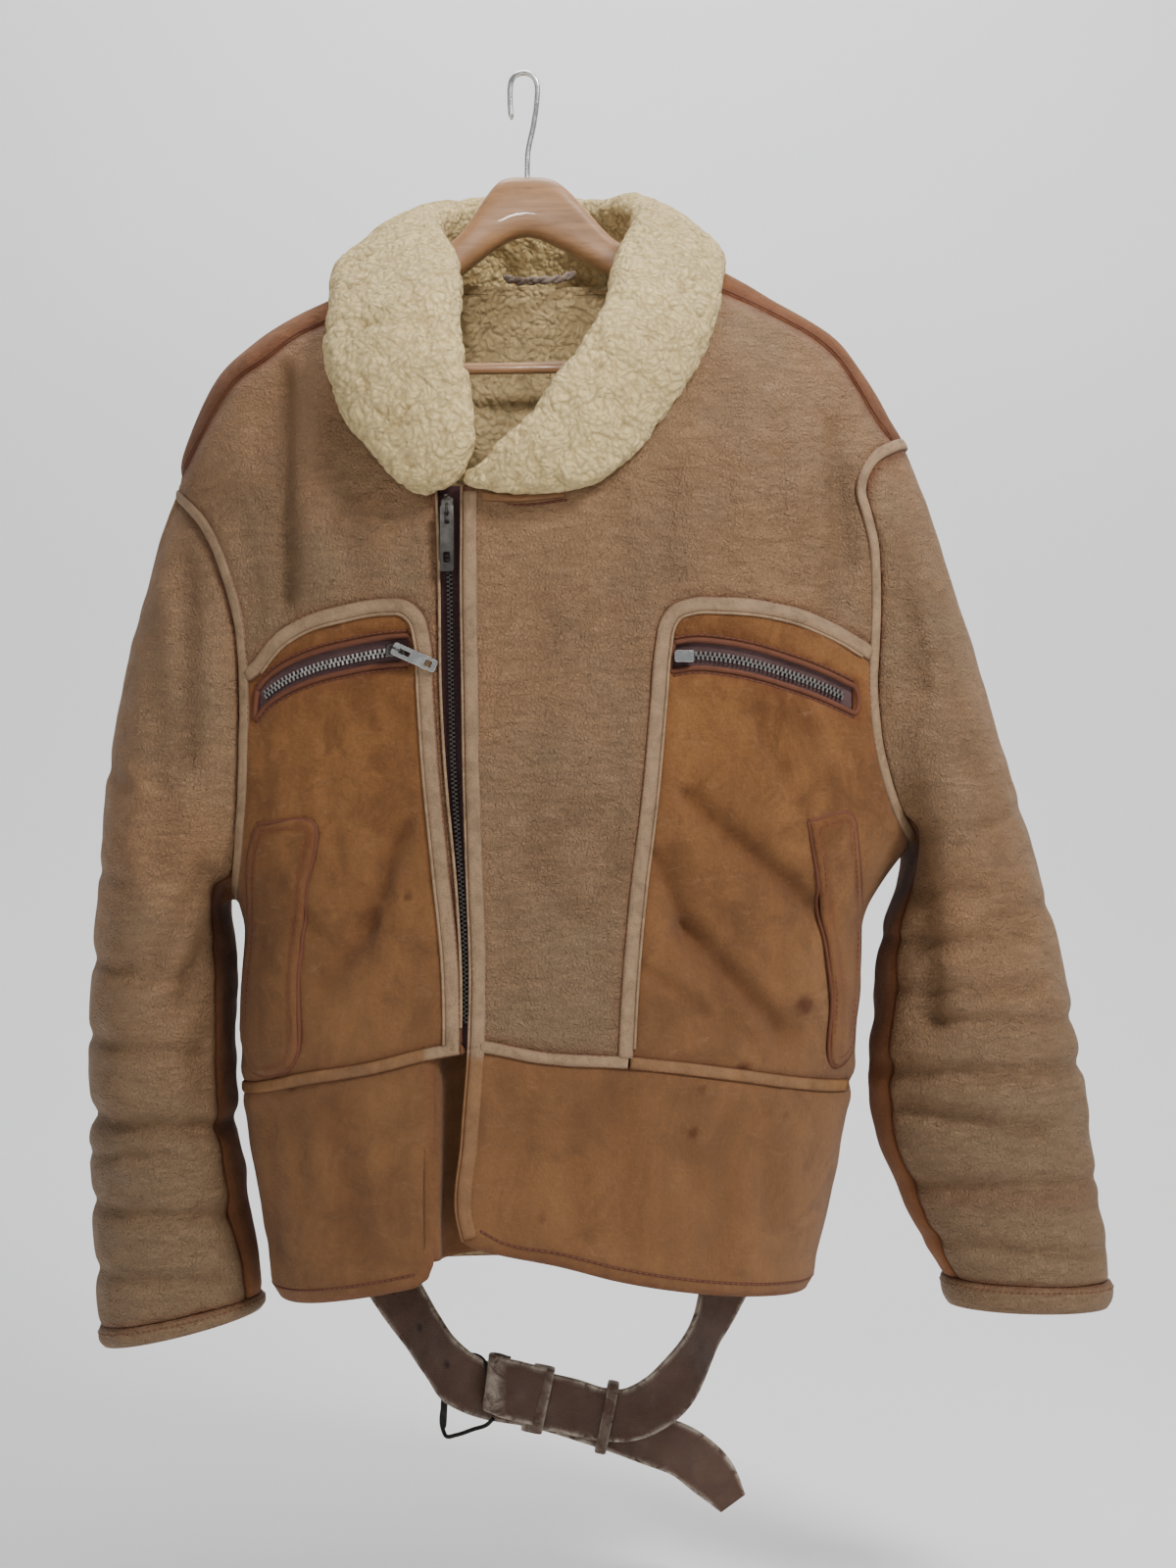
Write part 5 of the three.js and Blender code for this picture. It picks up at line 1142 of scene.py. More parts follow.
def tape_table():
    """Every seam tape: its line, width, finish, and front or back."""
    arm_r, arm_l = to_sides(ARMHOLE_RIGHT), to_sides(ARMHOLE_LEFT)
    waist_r = line_part(WAIST_RIGHT, -190, -40, 0)
    waist_l = line_part(WAIST_LEFT, -28, 214, 0)
    return {
        "armhole_tape_front_right": (arm_r, NARROW_TAPE, "tape", True),
        "armhole_tape_front_left": (arm_l, NARROW_TAPE, "tape", True),
        "armhole_tape_back_right": (arm_r, NARROW_TAPE, "tape", False),
        "armhole_tape_back_left": (arm_l, NARROW_TAPE, "tape", False),
        "waist_tape_right": (waist_r, NARROW_TAPE, "waist", True),
        "waist_tape_middle": (line_part(waist_l, -28, 67, 0), NARROW_TAPE, "tape", True),
        "waist_tape_left": (line_part(waist_l, 67.5, 214, 0), NARROW_TAPE, "brown", True),
        "pocket_tape_right": ([(-181, -413)] + line_part(POCKET_RIGHT[1:], -655, -300), TAPE_WIDTH, "tape",
                              True),
        "pocket_tape_left": ([(226, -399)] + line_part(POCKET_LEFT[1:], -659, -300), TAPE_WIDTH, "tape",
                             True),
        "edge_binding_left": (moved(line_part(FREE_EDGE, -774, -297), 6.2), TAPE_WIDTH, "binding", True),
        "neck_strip": ([(-27, -300), (-5, -301), (26, -298)], 6, "brown", True),
        "waist_tape_back": ([(x, BACK_WAIST_Z) for x in (-188, 0, 216)], 8, "brown", False),
    }


def make_tapes(sizes):
    pitch = sizes.stitch_pitch / MM
    runs = []
    for name, (line, width, finish, front) in tape_table().items():
        high = sizes.tape_height / MM - 0.5
        obj = put_strip(name, line, width, high, front, TAPE_TONES[finish])
        finish_piece(obj, [name])
        frame_here = laid_frame(line, front, out=high + 0.1)
        for side in (-1, 1):
            runs.append(stitch_run(*frame_here, pitch, side * (width / 2 - 0.9), -0.9))
    put_stitches("tape_stitches", runs)
    inner = [(BACK_SEAM_X, -134), (BACK_SEAM_X, -300), (BACK_SEAM_X, -560)]
    place, normal, _, across = laid_frame(inner, False, out=-9.0)
    c = np.concatenate([np.linspace(-1, 1, 11), [1.0, -1.0]])
    high = np.concatenate([-1.6 * (1 - np.abs(np.linspace(-1, 1, 11)) ** 4) ** 0.5, [0.2, 0.2]])
    points, faces = closed_sweep(rings_on(place, across, normal, c * 7, high))
    curl = 1 - lumps(points, 6.0, 5)
    obj = put_mesh("centre_back_tape", points, faces, MATERIALS["lining"], values={"curl": curl})
    finish_piece(obj, ["centre_back_tape"])


def make_pipings():
    """Thin pale edges beside the zip and round the pockets' tapes."""
    paths = {
        "piping_zip_right": (line_part(ZIP_EDGE, -640, -286), 0.2, -0.6),
        "piping_zip_left": (line_part(FREE_EDGE, -776, -292), 0.2, 0.4),
        "piping_pocket_right": (line_part(POCKET_RIGHT[1:], -652, -300), 1.2, None),
        "piping_pocket_left": (line_part(POCKET_LEFT[1:], -654, -300), 1.2, None),
    }
    for name, (line, out, dx) in paths.items():
        place, _, _, across = laid_frame(line, True, out=out)
        if dx is None:
            side = 1 if name.endswith("right") else -1
            place = place + across * side * (TAPE_WIDTH / 2 + 0.2)
        else:
            place = place + (dx, 0, 0)
        points, faces = closed_sweep(tube_rings(place, 1.0, 8))
        browned = np.zeros(len(points))
        if name == "piping_zip_left":
            browned = TAPE_TONES["binding"](points)
        values = {"rub": 1 - browned, "seam": np.zeros(len(points)), "tone": browned}
        trim_piece(put_mesh(name, points, faces, MATERIALS["tape"], values=values))


def seam_rows():
    """Stitched lines on the panels: line, front or back, and its distance from the seam or edge beside it."""
    rows = [
        (moved(line_part(YOKE_RIGHT[:-1], -275, -150), -1.2, 2.2), True, 2.5),
        (moved(line_part(YOKE_LEFT[:-1], -255, -140), 1.2, 2.2), True, 2.5),
        (moved(HEM_RIGHT[:-1], 0, 9), True, 9), ([(-27, -768)] + moved(HEM_LEFT[1:-1], 0, 9), True, 9),
        ([(-170, BACK_HEM_Z + 9), (10, BACK_HEM_Z + 9), (190, BACK_HEM_Z + 9)], False, 9),
        ([(BACK_SEAM_X + 3, -150), (BACK_SEAM_X + 3, -400), (BACK_SEAM_X + 3, -676)], False, 3),
        ([(BACK_SEAM_X - 3, -150), (BACK_SEAM_X - 3, -400), (BACK_SEAM_X - 3, -676)], False, 3),
        ([(-29.5, -300), (-5, -305.5), (28, -302.5)], True, 40),
    ]
    for window in (WINDOW_RIGHT, WINDOW_LEFT):
        rows.append((moved(window, 0, 3.2), True, 3.2))
        rows.append((moved(window, 0, -WINDOW_TALL - 3.2), True, 3.2))
    return rows


def make_seam_stitches(sizes):
    """Rows of stitches on the panels, each over a thin dark ribbon laid as the painted shadow of the groove
    that its thread presses.
    """
    pitch = sizes.stitch_pitch / MM
    runs, creases = [], []
    for line, front, away in seam_rows():
        frame_here = laid_frame(line, front, out=0.0, away=away)
        runs.append(stitch_run(*frame_here, pitch, 0, 0.35))
        place, normal, _, across = frame_here
        # Each row lies on a dark ribbon, painted as the shadow of its groove
        turn = full_turn(8)
        ring = (across[:, None] * (np.cos(turn) * 0.9)[None, :, None]
                + normal[:, None] * (np.sin(turn) * 0.35)[None, :, None])
        creases.append(closed_sweep(place[:, None] + ring + normal[:, None] * 0.05))
    put_stitches("panel_stitches", runs)
    points = np.concatenate([c[0] for c in creases])
    faces, start = [], 0
    for ring_points, ring_faces in creases:
        faces += [np.asarray(group) + start for group in ring_faces]
        start += len(ring_points)
    trim_piece(put_mesh("panel_stitch_creases", points, faces, MATERIALS["crease"]))


def make_welts(sizes):
    """Hand-warmer welts: a flap from the outline, puffed between its edges, with stitches inside them."""
    for name, outline in (("welt_right", WELT_RIGHT), ("welt_left", WELT_LEFT)):
        closed = smooth_line(outline + outline[:1], 2.5)
        low, high = closed.min(axis=0), closed.max(axis=0)
        step = 1.6
        xs = np.arange(low[0] - step, high[0] + step, step)
        zs = np.arange(high[1] + step, low[1] - step, -step)
        x, z = (v.ravel() for v in np.meshgrid(xs, zs))
        quads = grid_faces(len(zs), len(xs))
        quads = quads[in_outline(x[quads].mean(axis=1), z[quads].mean(axis=1), closed)]
        quads, used, edge = used_only(quads, len(x))
        x, z = x[used], z[used]
        away, near = nearest_on_lines(x, z, [closed])
        x, z = np.where(edge, near[:, 0], x), np.where(edge, near[:, 1], z)
        away = np.where(edge, 0, away)
        out = SEAM + 4.0 - 2.0 * np.exp(-(away / 1.8)) - 0.7 * bell(away, 1.2, 5.5)
        place, normal = body_at(x, z, out + waves(np.stack([x, 0 * x, z], -1), 40, 9) * 0.5)
        quads = faced(place, quads, normal)
        shade = np.exp(-(away / 3.0)) * 0.9 + 0.7 * bell(away, 1.6, 5.5)
        values = {"seam": np.clip(shade, 0, 1), "mark": np.zeros(len(x)), "tone": lower_browning(z)}
        obj = put_mesh(name, place, [quads], MATERIALS["suede"], values=values)
        add_wall(obj, 2.4 * MM, MATERIALS["suede"])
        finish_piece(obj, [name])
        place, _, _, _ = laid_frame(closed.tolist(), True, out=1.0)
        trim_piece(put_tube(f"{name}_rim", place, 1.5, MATERIALS["rim"], 8))
        inner = closed.mean(axis=0) + (closed - closed.mean(axis=0)) * (0.72, 0.93)
        run = stitch_run(*laid_frame(inner.tolist(), True, out=SEAM + 3.4), sizes.stitch_pitch / MM, 0, 0.1)
        put_stitches(f"{name}_stitches", [run])


# Zips


def ruled_cloth(name, rows_from, rows_to, out, columns, material):
    """A strip between two lines with as many points: straight across in x and z, laid at one depth."""
    share = np.linspace(0, 1, columns)[None, :, None]
    flat = rows_from[:, None] * (1 - share) + rows_to[:, None] * share
    place, normal = body_at(flat[..., 0], flat[..., 1], out)
    points = place.reshape(-1, 3)
    quads = faced(points, grid_faces(len(rows_from), columns), normal.reshape(-1, 3))
    obj = put_mesh(name, points, [quads], material)
    return add_wall(obj, 0.9 * MM, material)


def put_teeth(name, line, out, pitch, reach, material):
    """Two rows of teeth that mesh: one block, narrower at its nose, set by turns to each side of a line."""
    place, normal, forwards, across = laid_frame(line, True, out=out, step=2.0)
    length = path_length(place)
    at = np.arange(pitch, length[-1] - pitch, pitch / 2)
    middle, up, ahead, beside = read_along(length, at, place, normal, forwards, across)
    side = np.where(np.arange(len(at)) % 2 == 0, 1.0, -1.0)[:, None, None]
    a = np.array([-1, 1, 1, -1, -1, 1, 1, -1]) * pitch * np.array([.30, .30, .22, .22, .26, .26, .18, .18])
    b = np.array([1, 1, -1, -1, 1, 1, -1, -1]) * reach * np.array([1, 1, .18, .18, .9, .9, .1, .1])
    c = np.array([-1, -1, -1, -1, 1, 1, 1, 1]) * 0.9
    points = (middle[:, None] + ahead[:, None] * a[None, :, None] + beside[:, None] * b[None, :, None] * side
              + up[:, None] * c[None, :, None])
    one = np.array([[0, 1, 2, 3], [7, 6, 5, 4], [0, 4, 5, 1], [1, 5, 6, 2], [2, 6, 7, 3], [3, 7, 4, 0]])
    faces = np.arange(len(at))[:, None, None] * 8 + one[None]
    flip = np.array([volume_sign(p - p.mean(axis=0), one) < 0 for p in points[:2]])
    both = np.where((np.arange(len(at)) % 2 == 0), flip[0], flip[1])
    faces = np.where(both[:, None, None], faces[:, :, ::-1], faces).reshape(-1, 4)
    return trim_piece(put_mesh(name, points.reshape(-1, 3), [faces], material, smooth=False))


def rounded_plate(long, wide, thick, corner, holes=()):
    """A plate's mesh from a filled curve with holes, each (middle, half length, half width)."""
    def loop(middle, half_long, half_wide, radius):
        turn = full_turn(24) + TAU / 48
        x = np.sign(np.cos(turn)) * (half_wide - radius) + radius * np.cos(turn)
        z = middle + np.sign(np.sin(turn)) * (half_long - radius) + radius * np.sin(turn)
        return np.stack([x, z], -1) * MM

    curve = bpy.data.curves.new("plate", "CURVE")
    curve.dimensions = "2D"
    curve.fill_mode = "BOTH"
    curve.extrude = (thick / 2 - 0.2) * MM
    curve.bevel_depth = 0.2 * MM
    curve.bevel_resolution = 1
    outlines = [loop(0, long / 2, wide / 2, corner)]
    outlines += [loop(*hole, min(hole[1], hole[2]) * 0.5) for hole in holes]
    for outline in outlines:
        spline = curve.splines.new("POLY")
        spline.points.add(len(outline) - 1)
        flat = np.zeros((len(outline), 4))
        flat[:, :2] = outline
        flat[:, 3] = 1
        spline.points.foreach_set("co", flat.ravel())
        spline.use_cyclic_u = True
    holder = bpy.data.objects.new("plate", curve)
    bpy.context.scene.collection.objects.link(holder)
    mesh = bpy.data.meshes.new_from_object(holder.evaluated_get(bpy.context.evaluated_depsgraph_get()))
    bpy.data.objects.remove(holder)
    return mesh


def turned_about_y(points, angle):
    c, s = np.cos(angle), np.sin(angle)
    return points @ np.array([[c, 0, -s], [0, 1, 0], [s, 0, c]])


def put_plate(name, mesh, laid, material):
    """An object from a plate's mesh, each of its points moved by a function of places in millimetres."""
    co = np.empty(len(mesh.vertices) * 3)
    mesh.vertices.foreach_get("co", co)
    mesh.vertices.foreach_set("co", (laid(*(co.reshape(-1, 3) / MM).T) * MM).ravel())
    mesh.materials.clear()
    mesh.materials.append(material)
    obj = bpy.data.objects.new(name, mesh)
    bpy.context.scene.collection.objects.link(obj)
    mend_normals(obj)
    return obj


def put_pull(name, pull, node, body, material, holes):
    """A pull tab: its plate lies in the cloth's plane, hung from the hinge and turned to its lie."""
    mesh = rounded_plate(pull["long"], pull["wide"], 1.6, 1.6, holes)
    mesh.name = name

    def hung(x, y, z):
        local = np.stack([x, z, y + 2 - pull["long"] / 2], -1)
        return turned_about_y(local, pull["turn"]) + (pull["x"], pull["y"], pull["z"])

    return finish_piece(put_plate(name, mesh, hung, material), [node], body)


def mend_normals(obj):
    mesh = bmesh.new()
    mesh.from_mesh(obj.data)
    bmesh.ops.remove_doubles(mesh, verts=mesh.verts, dist=1e-6)
    bmesh.ops.recalc_face_normals(mesh, faces=mesh.faces)
    mesh.to_mesh(obj.data)
    mesh.free()


TAB_LIFT = 7.4
SLIDER_THICK = 3.4
PULLS = {
    "main": {"x": -48.5, "z": -308.5, "turn": 0.0, "long": 42, "wide": 8.5},
    "pocket": {"x": -81, "z": -398, "turn": -1.15, "long": 30, "wide": 8},
}


def put_slider(name, x, z, long, wide, lean, node, bail):
    """A slider's body: rounded sections that widen to its shoulders, and a bail round the tab's bridge."""
    cloth = float(body_depth(x, z, True))
    t = np.linspace(-1, 1, 15)
    half = wide / 2 * np.interp(t, [-1, -0.3, 0.35, 0.8, 1], [0.72, 0.78, 1.0, 1.0, 0.7])
    thick = SLIDER_THICK / 2 * np.interp(t, [-1, -0.85, 0.85, 1], [0.55, 1, 1, 0.5])
    turn = full_turn(20)
    c, s = oblong(turn, 4.5)
    local = np.stack([half[:, None] * c, thick[:, None] * s, (t * long / 2)[:, None] + 0 * turn], -1)
    rings = turned_about_y(local.reshape(-1, 3), lean).reshape(local.shape)
    points, faces = closed_sweep(rings + (x, cloth - SLIDER_THICK / 2, z))
    obj = put_mesh(name, points, faces, MATERIALS["dark_metal"])
    finish_piece(obj, [node])
    if bail:
        y = cloth - TAB_LIFT
        angle = np.linspace(np.radians(10), np.radians(170), 15)
        arc = np.stack([0 * angle, -3.15 * np.sin(angle), 3.15 * np.cos(angle)], -1)
        legs = np.array([[0, 4.2, 3.3], [0, 2.0, 3.3]])
        path = np.concatenate([legs, arc, legs[::-1] * (1, 1, -1)])
        path = turned_about_y(path, bail["turn"]) + (bail["x"], y, bail["z"])
        trim_piece(put_tube(f"{name}_bail", path, 0.72, MATERIALS["dark_metal"], 10))


def make_zips():
    z = np.linspace(-292.5, -652, 120)
    near = np.stack([along(*np.array(ZIP_EDGE).T[::-1], z) - 1.0, z], -1)
    far = np.stack([along(*np.array(FREE_EDGE[:8]).T[::-1], z) + 1.0, z], -1)
    tape = ruled_cloth("main_zip_tape", near, far, -3.0, 9, MATERIALS["zip_tape"])
    finish_piece(tape, ["main_zip"])
    put_teeth("main_zip_teeth", CHAIN, -1.9, 2.8, 2.0, MATERIALS["dark_metal"])
    for side, top in (("right", WINDOW_RIGHT), ("left", WINDOW_LEFT)):
        x = np.linspace(top[0][0] - 1.5, top[-1][0] + 1.5, 70)
        line = np.stack([x, np.interp(x, *np.array(top, float).T)], -1)
        tape = ruled_cloth(f"pocket_zip_{side}_tape", line + (0, 1.2), line - (0, WINDOW_TALL + 1.2), -3.0, 9,
                           MATERIALS["pocket_zip_tape"])
        finish_piece(tape, [f"pocket_zip_{side}"])
        cut_strip(WINDOW_TALL + 2.4)
        outline = window_outline(smooth_line(top).tolist())
        place = laid_frame(outline + outline[:1], True, out=-0.3, away=2.0)[0]
        trim_piece(put_tube(f"pocket_rim_{side}", place, 1.9, MATERIALS["rim"], 8))
        middle = line_part(moved(top, 0, -WINDOW_TALL / 2 - 1), top[0][0] + 3, top[-1][0] - 3, 0)
        put_teeth(f"pocket_zip_{side}_teeth", middle, -1.9, 3.0, 3.0, MATERIALS["tooth_metal"])


def make_pulls():
    main, pocket = ({**pull, "y": float(body_depth(pull["x"], pull["z"], True)) - TAB_LIFT}
                    for pull in PULLS.values())
    put_slider("main_slider_body", -48.5, -309, 16, 8.6, 0.0, "main_slider", main)
    put_slider("pocket_slider_right_body", -81.5, -399, 13, 8.5, 0.1 - np.pi / 2, "pocket_slider_right",
               pocket)
    put_slider("pocket_slider_left_body", 103.2, -402.5, 13, 8.5, np.pi / 2, "pocket_slider_left", None)
    top = main["long"] / 2 - 2
    put_pull("main_pull_tab", main, "main_pull", "main_pull", MATERIALS["dark_metal"],
             [(top - 6, 4, 1.8), (-12, 3.6, 2.4)])
    top = pocket["long"] / 2 - 2
    put_pull("pocket_pull_right_tab", pocket, "pocket_pull_right", "pocket_pull",
             MATERIALS["bright_metal"], [(top - 6, 4, 1.8), (-9.6, 2.6, 2.5)])
    y = float(body_depth(101, -403, True)) - SLIDER_THICK - SEAM - 0.8
    mesh = rounded_plate(12, 7, 1.6, 1.4)

    def upright(across, high, deep):
        return np.stack([high, deep, across], -1) + (103, y, -402.5)

    obj = put_plate("pocket_pull_left_end", mesh, upright, MATERIALS["bright_metal"])
    finish_piece(obj, ["pocket_pull_left"])


# Sleeves


def sleeve_points(rows, line, side, s, turn):
    """A sleeve's rings are ellipses between outer and inner points; near the top they turn to the armhole."""
    order = np.arange(len(rows))
    ox, oz, ix, iz, deep, hug = (along(order, rows[:, k], s) for k in range(6))
    cosine, sine = np.cos(turn), np.sin(turn)

    def ring(outer_x, outer_z, inner_x, inner_z, depth):
        return np.stack([(outer_x + inner_x) / 2 + (outer_x - inner_x) / 2 * cosine, -depth * sine,
                         (outer_z + inner_z) / 2 + (outer_z - inner_z) / 2 * cosine], -1)

    point = ring(ox, oz, ix, iz, deep)
    plain = ring(*rows[0][:5])
    z = plain[..., 2]
    edge = np.array(line, float)
    x = along(edge[:, 1], edge[:, 0] + side * (NARROW_TAPE / 2 - 0.6), z)
    middle, half, _, _ = section(z)
    x = np.clip(x, middle - half + 3, middle + half - 3)
    hole = np.stack([x, body_depth(x, z, sine >= 0), z], -1)
    hug = np.where(s <= 0, 1.0, hug)[..., None]
    point = point + (hole - plain) * hug
    centre = np.stack([(ox + ix) / 2, 0 * ox, (oz + iz) / 2], -1)
    return point, unit(point - centre)


def make_sleeve_cloth(name, rows, line, side, folds, span, turns, material):
    """One sleeve piece on a fine grid, with folds, soft unevenness and a dip along its seams."""
    s = np.linspace(span[0], span[1], span[2])
    turn = np.radians(np.linspace(turns[0], turns[1], turns[2]))
    s, turn = np.meshgrid(s, turn, indexing="ij")
    point, outwards = sleeve_points(rows, line, side, s, turn)
    x, z = point[..., 0], point[..., 2]
    facing = np.clip(0.62 + 0.5 * np.sin(turn), 0.25, 1)
    folds_out = -1.4 * crease_depth(x, z, folds) * facing
    puff = 1.2 * waves(point.reshape(-1, 3), 80, 11).reshape(x.shape)
    lower = np.clip((s - 7) / 3, 0, 1)
    puff = puff + 0.9 * np.sin(z / 8.5 + 2 * np.sin(x / 45)) * lower * np.clip(facing, 0, 1)
    puff = puff + 0.5 * waves(point.reshape(-1, 3), 26, 12).reshape(x.shape)
    top = np.clip(s / 0.9, 0, 1)
    seam_top = bell(s * 34, 5.0)
    edge_turn = np.minimum(np.abs(np.degrees(turn) - turns[0]), np.abs(np.degrees(turn) - turns[1]))
    along_seam = bell(edge_turn, 3.2)
    low = bell((span[1] - s) * 30, 4.0)
    out = (folds_out + puff) * (0.15 + 0.85 * top) - 0.5 * seam_top - 1.6 * along_seam - 1.2 * low
    points = (point + outwards * out[..., None]).reshape(-1, 3)
    quads = faced(points, grid_faces(*s.shape), outwards.reshape(-1, 3))
    tone = np.clip((-560 - z) / 160, 0, 1) * np.clip(0.75 + 0.25 * np.sin(turn), 0, 1)
    # Painted shade in the folds, strongest on the front of the sleeve
    mark = np.clip(crease_depth(x, z, folds) / 7.5, 0, 0.75) * facing
    reddened = 0.34 * bell(z, 9, -761) * facing if side > 0 else 0
    seam = np.clip(seam_top + along_seam * 0.9 + low * 0.7 + reddened, 0, 1)
    values = {"seam": seam, "tone": tone, "mark": mark}
    return put_mesh(name, points, [quads], material, values=values)


# Lengths in millimetres that set how many steps a sleeve's pieces get, and half their gap in degrees
SLEEVE_LONG, SLEEVE_ROUND, UNDER_ROUND, SLEEVE_GAP = 620, 330, 150, 0.6


def make_sleeves(sizes):
    step = sizes.cloth_step / MM
    front, back = SEAM_TURNS
    for side_name, rows, line, side, folds in (("right", SLEEVE_RIGHT, ARMHOLE_RIGHT, -1, FOLDS_RIGHT),
                                               ("left", SLEEVE_LEFT, ARMHOLE_LEFT, 1, FOLDS_LEFT)):
        down = int(SLEEVE_LONG / step)
        upper = (back - 360 + SLEEVE_GAP, front - SLEEVE_GAP, int(SLEEVE_ROUND / step))
        under = (front + SLEEVE_GAP, back - SLEEVE_GAP, int(UNDER_ROUND / step))
        for piece, turns, kind in (("sleeve", upper, "leather"), ("under_sleeve", under, "shoulder")):
            name = f"{piece}_{side_name}"
            obj = make_sleeve_cloth(name, rows, line, side, folds, (0, CUFF_ROW, down), turns,
                                    MATERIALS[kind])
            add_wall(obj, sizes.sleeve_skin, MATERIALS["lining"], MATERIALS[kind])
            finish_piece(obj, [name])
        make_cuff(f"cuff_{side_name}", rows, line, side, sizes)


def make_cuff(name, rows, line, side, sizes):
    """A cuff band: rings that swell between its seam and its rolled lower edge, closed round the inside."""
    s = np.concatenate([np.linspace(CUFF_ROW + 0.025, 13, 9), np.linspace(13, CUFF_ROW + 0.025, 9)])
    inset = np.array([0.8, -0.6, -1.2, -1.5, -1.5, -1.3, -0.8, 0.2, 1.5,
                      5.2, 6, 6.4, 6.5, 6.5, 6.5, 6.5, 6.5, 6.0])
    turn = full_turn(120)
    grid_s, grid_turn = np.meshgrid(s, turn, indexing="ij")
    point, outwards = sleeve_points(rows, line, side, grid_s, grid_turn)
    point = point - outwards * inset[:, None, None]
    flat = point.reshape(-1, 3)
    quads = closed_faced(flat, round_faces(len(s), len(turn)))
    groove = np.concatenate([[0.8, 0.25, 0, 0, 0, 0, 0, 0.05, 0.1], np.full(9, 0.2)])
    values = {"seam": np.repeat(groove, len(turn)), "tone": np.full(len(flat), 0.8),
              "mark": np.zeros(len(flat))}
    obj = put_mesh(name, flat, [quads], MATERIALS["leather"], values=values)
    finish_piece(obj, [name])
    closed = np.append(turn, TAU)
    ring, out = sleeve_points(rows, line, side, np.full(len(closed), 12.22), closed)
    ahead = ways_along(ring)
    run = stitch_run(ring + out * 1.3, out, ahead, np.cross(out, ahead), sizes.stitch_pitch / MM, 0, 0.1)
    put_stitches(f"{name}_stitches", [run])


# Collar and lining


# The collar's length and girth in millimetres, for its number of steps
COLLAR_LONG, COLLAR_ROUND = 1050, 250


def collar_grid(sizes):
    """Rings of the table read smoothly: each is a superellipse between roll edge and outer edge."""
    order = np.arange(len(COLLAR))
    step = sizes.fleece_step / MM
    rows = int(COLLAR_LONG / step)
    s = np.linspace(0, len(COLLAR) - 1, rows)
    v = [along(order, COLLAR[:, k], s) for k in range(11)]
    inner, outer = np.stack(v[0:3], -1), np.stack(v[3:6], -1)
    half = (outer - inner) / 2
    middle = inner + half
    facing = unit(np.stack(v[8:11], -1))
    facing = unit(facing - half * (np.sum(facing * half, axis=1) / np.sum(half * half, axis=1))[:, None])
    turn = full_turn(int(COLLAR_ROUND / step))
    c, d = oblong(turn, COLLAR_SQUARENESS)
    thick = v[6][:, None] + (v[7] - v[6])[:, None] * (c + 1)[None] / 2
    close = np.minimum(1, np.sqrt(np.clip(np.minimum(s, len(COLLAR) - 1 - s) / 0.5, 0.02, 1)))[:, None]
    return (middle[:, None] + half[:, None] * (c[None] * close)[..., None]
            + facing[:, None] * (d[None] * thick / 2 * close)[..., None])


def on_form(points):
    """Coordinates of points, their height kept within the body form's."""
    return points[:, 0], points[:, 1], np.clip(points[:, 2], FORM_FOOT, FORM_TOP)


def off_body(points, clearance):
    """Pushes places that lie inside the body form out to it, by steps of field over slope."""
    for _ in range(8):
        x, y, z = on_form(points)
        field = body_field(x, y, z)
        h = PROBE
        slope = np.stack([body_field(x + h, y, z) - field, body_field(x, y + h, z) - field,
                          body_field(x, y, z + h) - field], -1) / h
        size = np.sum(slope * slope, axis=1)
        step = (1 - field) / np.maximum(size, 1e-9)
        push = (field < 1) & (points[:, 2] < FORM_TOP)
        move = slope * np.clip(step, 0, 12 / np.sqrt(np.maximum(size, 1e-9)))[:, None]
        points = points + np.where(push[:, None], move, 0)
    normal = body_normal(*on_form(points))
    near = (body_field(*on_form(points)) < 1.01) & (points[:, 2] < FORM_TOP)
    return points + np.where(near[:, None], normal * clearance, 0)


def grid_normals(grid):
    """Normals of a grid whose rows close on themselves."""
    across = (np.roll(grid, -1, axis=1) - np.roll(grid, 1, axis=1)) / 2
    return unit(np.cross(np.gradient(grid, axis=0), across))


def make_collar(sizes):
    """The collar's pad, its surface raised in curls of two sizes that lie in soft rows."""
    grid = collar_grid(sizes)
    shape = grid.shape
    normals = grid_normals(grid)
    centre = grid.mean(axis=1, keepdims=True)
    if np.sum(normals * (grid - centre)) < 0:
        normals = -normals
    flat, normal = grid.reshape(-1, 3), normals.reshape(-1, 3)
    size = sizes.curl / MM
    drift = three_waves(flat, 38, 21) * size * 0.55
    large = 1 - lumps(flat * (1, 1, 0.8) + drift, size, 1) ** 2.4
    small = 1 - lumps(flat + drift * 0.6, size * 0.5, 2) ** 2.4
    height = sizes.curl_height / MM * (0.72 * large + 0.42 * small)
    swell = 1.4 * waves(flat, 52, 24)
    points = off_body(flat + normal * (height + swell - 1.2)[:, None], 0.5)
    curl = np.clip(0.62 * large + 0.38 * small, 0, 1)
    points, faces = closed_sweep(points.reshape(shape))
    obj = put_mesh("collar", points, faces, MATERIALS["fleece"], values={"curl": curl})
    finish_piece(obj, ["collar"])


def make_lining():
    """The fleece of the inside back, where the neck shows it: the wall's inner face, raised in low curls."""
    x, z = np.meshgrid(np.linspace(-112, 118, 100), np.linspace(-127, -400, 118))
    place, normal = body_at(x, z, -8.4, False)
    flat, inwards = place.reshape(-1, 3), -normal.reshape(-1, 3)
    drift = three_waves(flat, 30, 31) * 3
    curl = 1 - lumps(flat + drift, 6.5, 6) ** 1.5
    edge = np.minimum.reduce([np.abs(v - end) for v in (x, z) for end in (v.min(), v.max())])
    height = (1.7 * curl + 0.8 * waves(flat, 60, 34)) * np.clip(edge.ravel() / 10, 0, 1)
    points = flat + inwards * height[:, None]
    quads = faced(points, grid_faces(*x.shape), inwards)
    obj = put_mesh("back_lining", points, [quads], MATERIALS["lining"], values={"curl": curl})
    add_wall(obj, 0.3 * MM, MATERIALS["lining"], MATERIALS["lining"])
    trim_piece(obj)


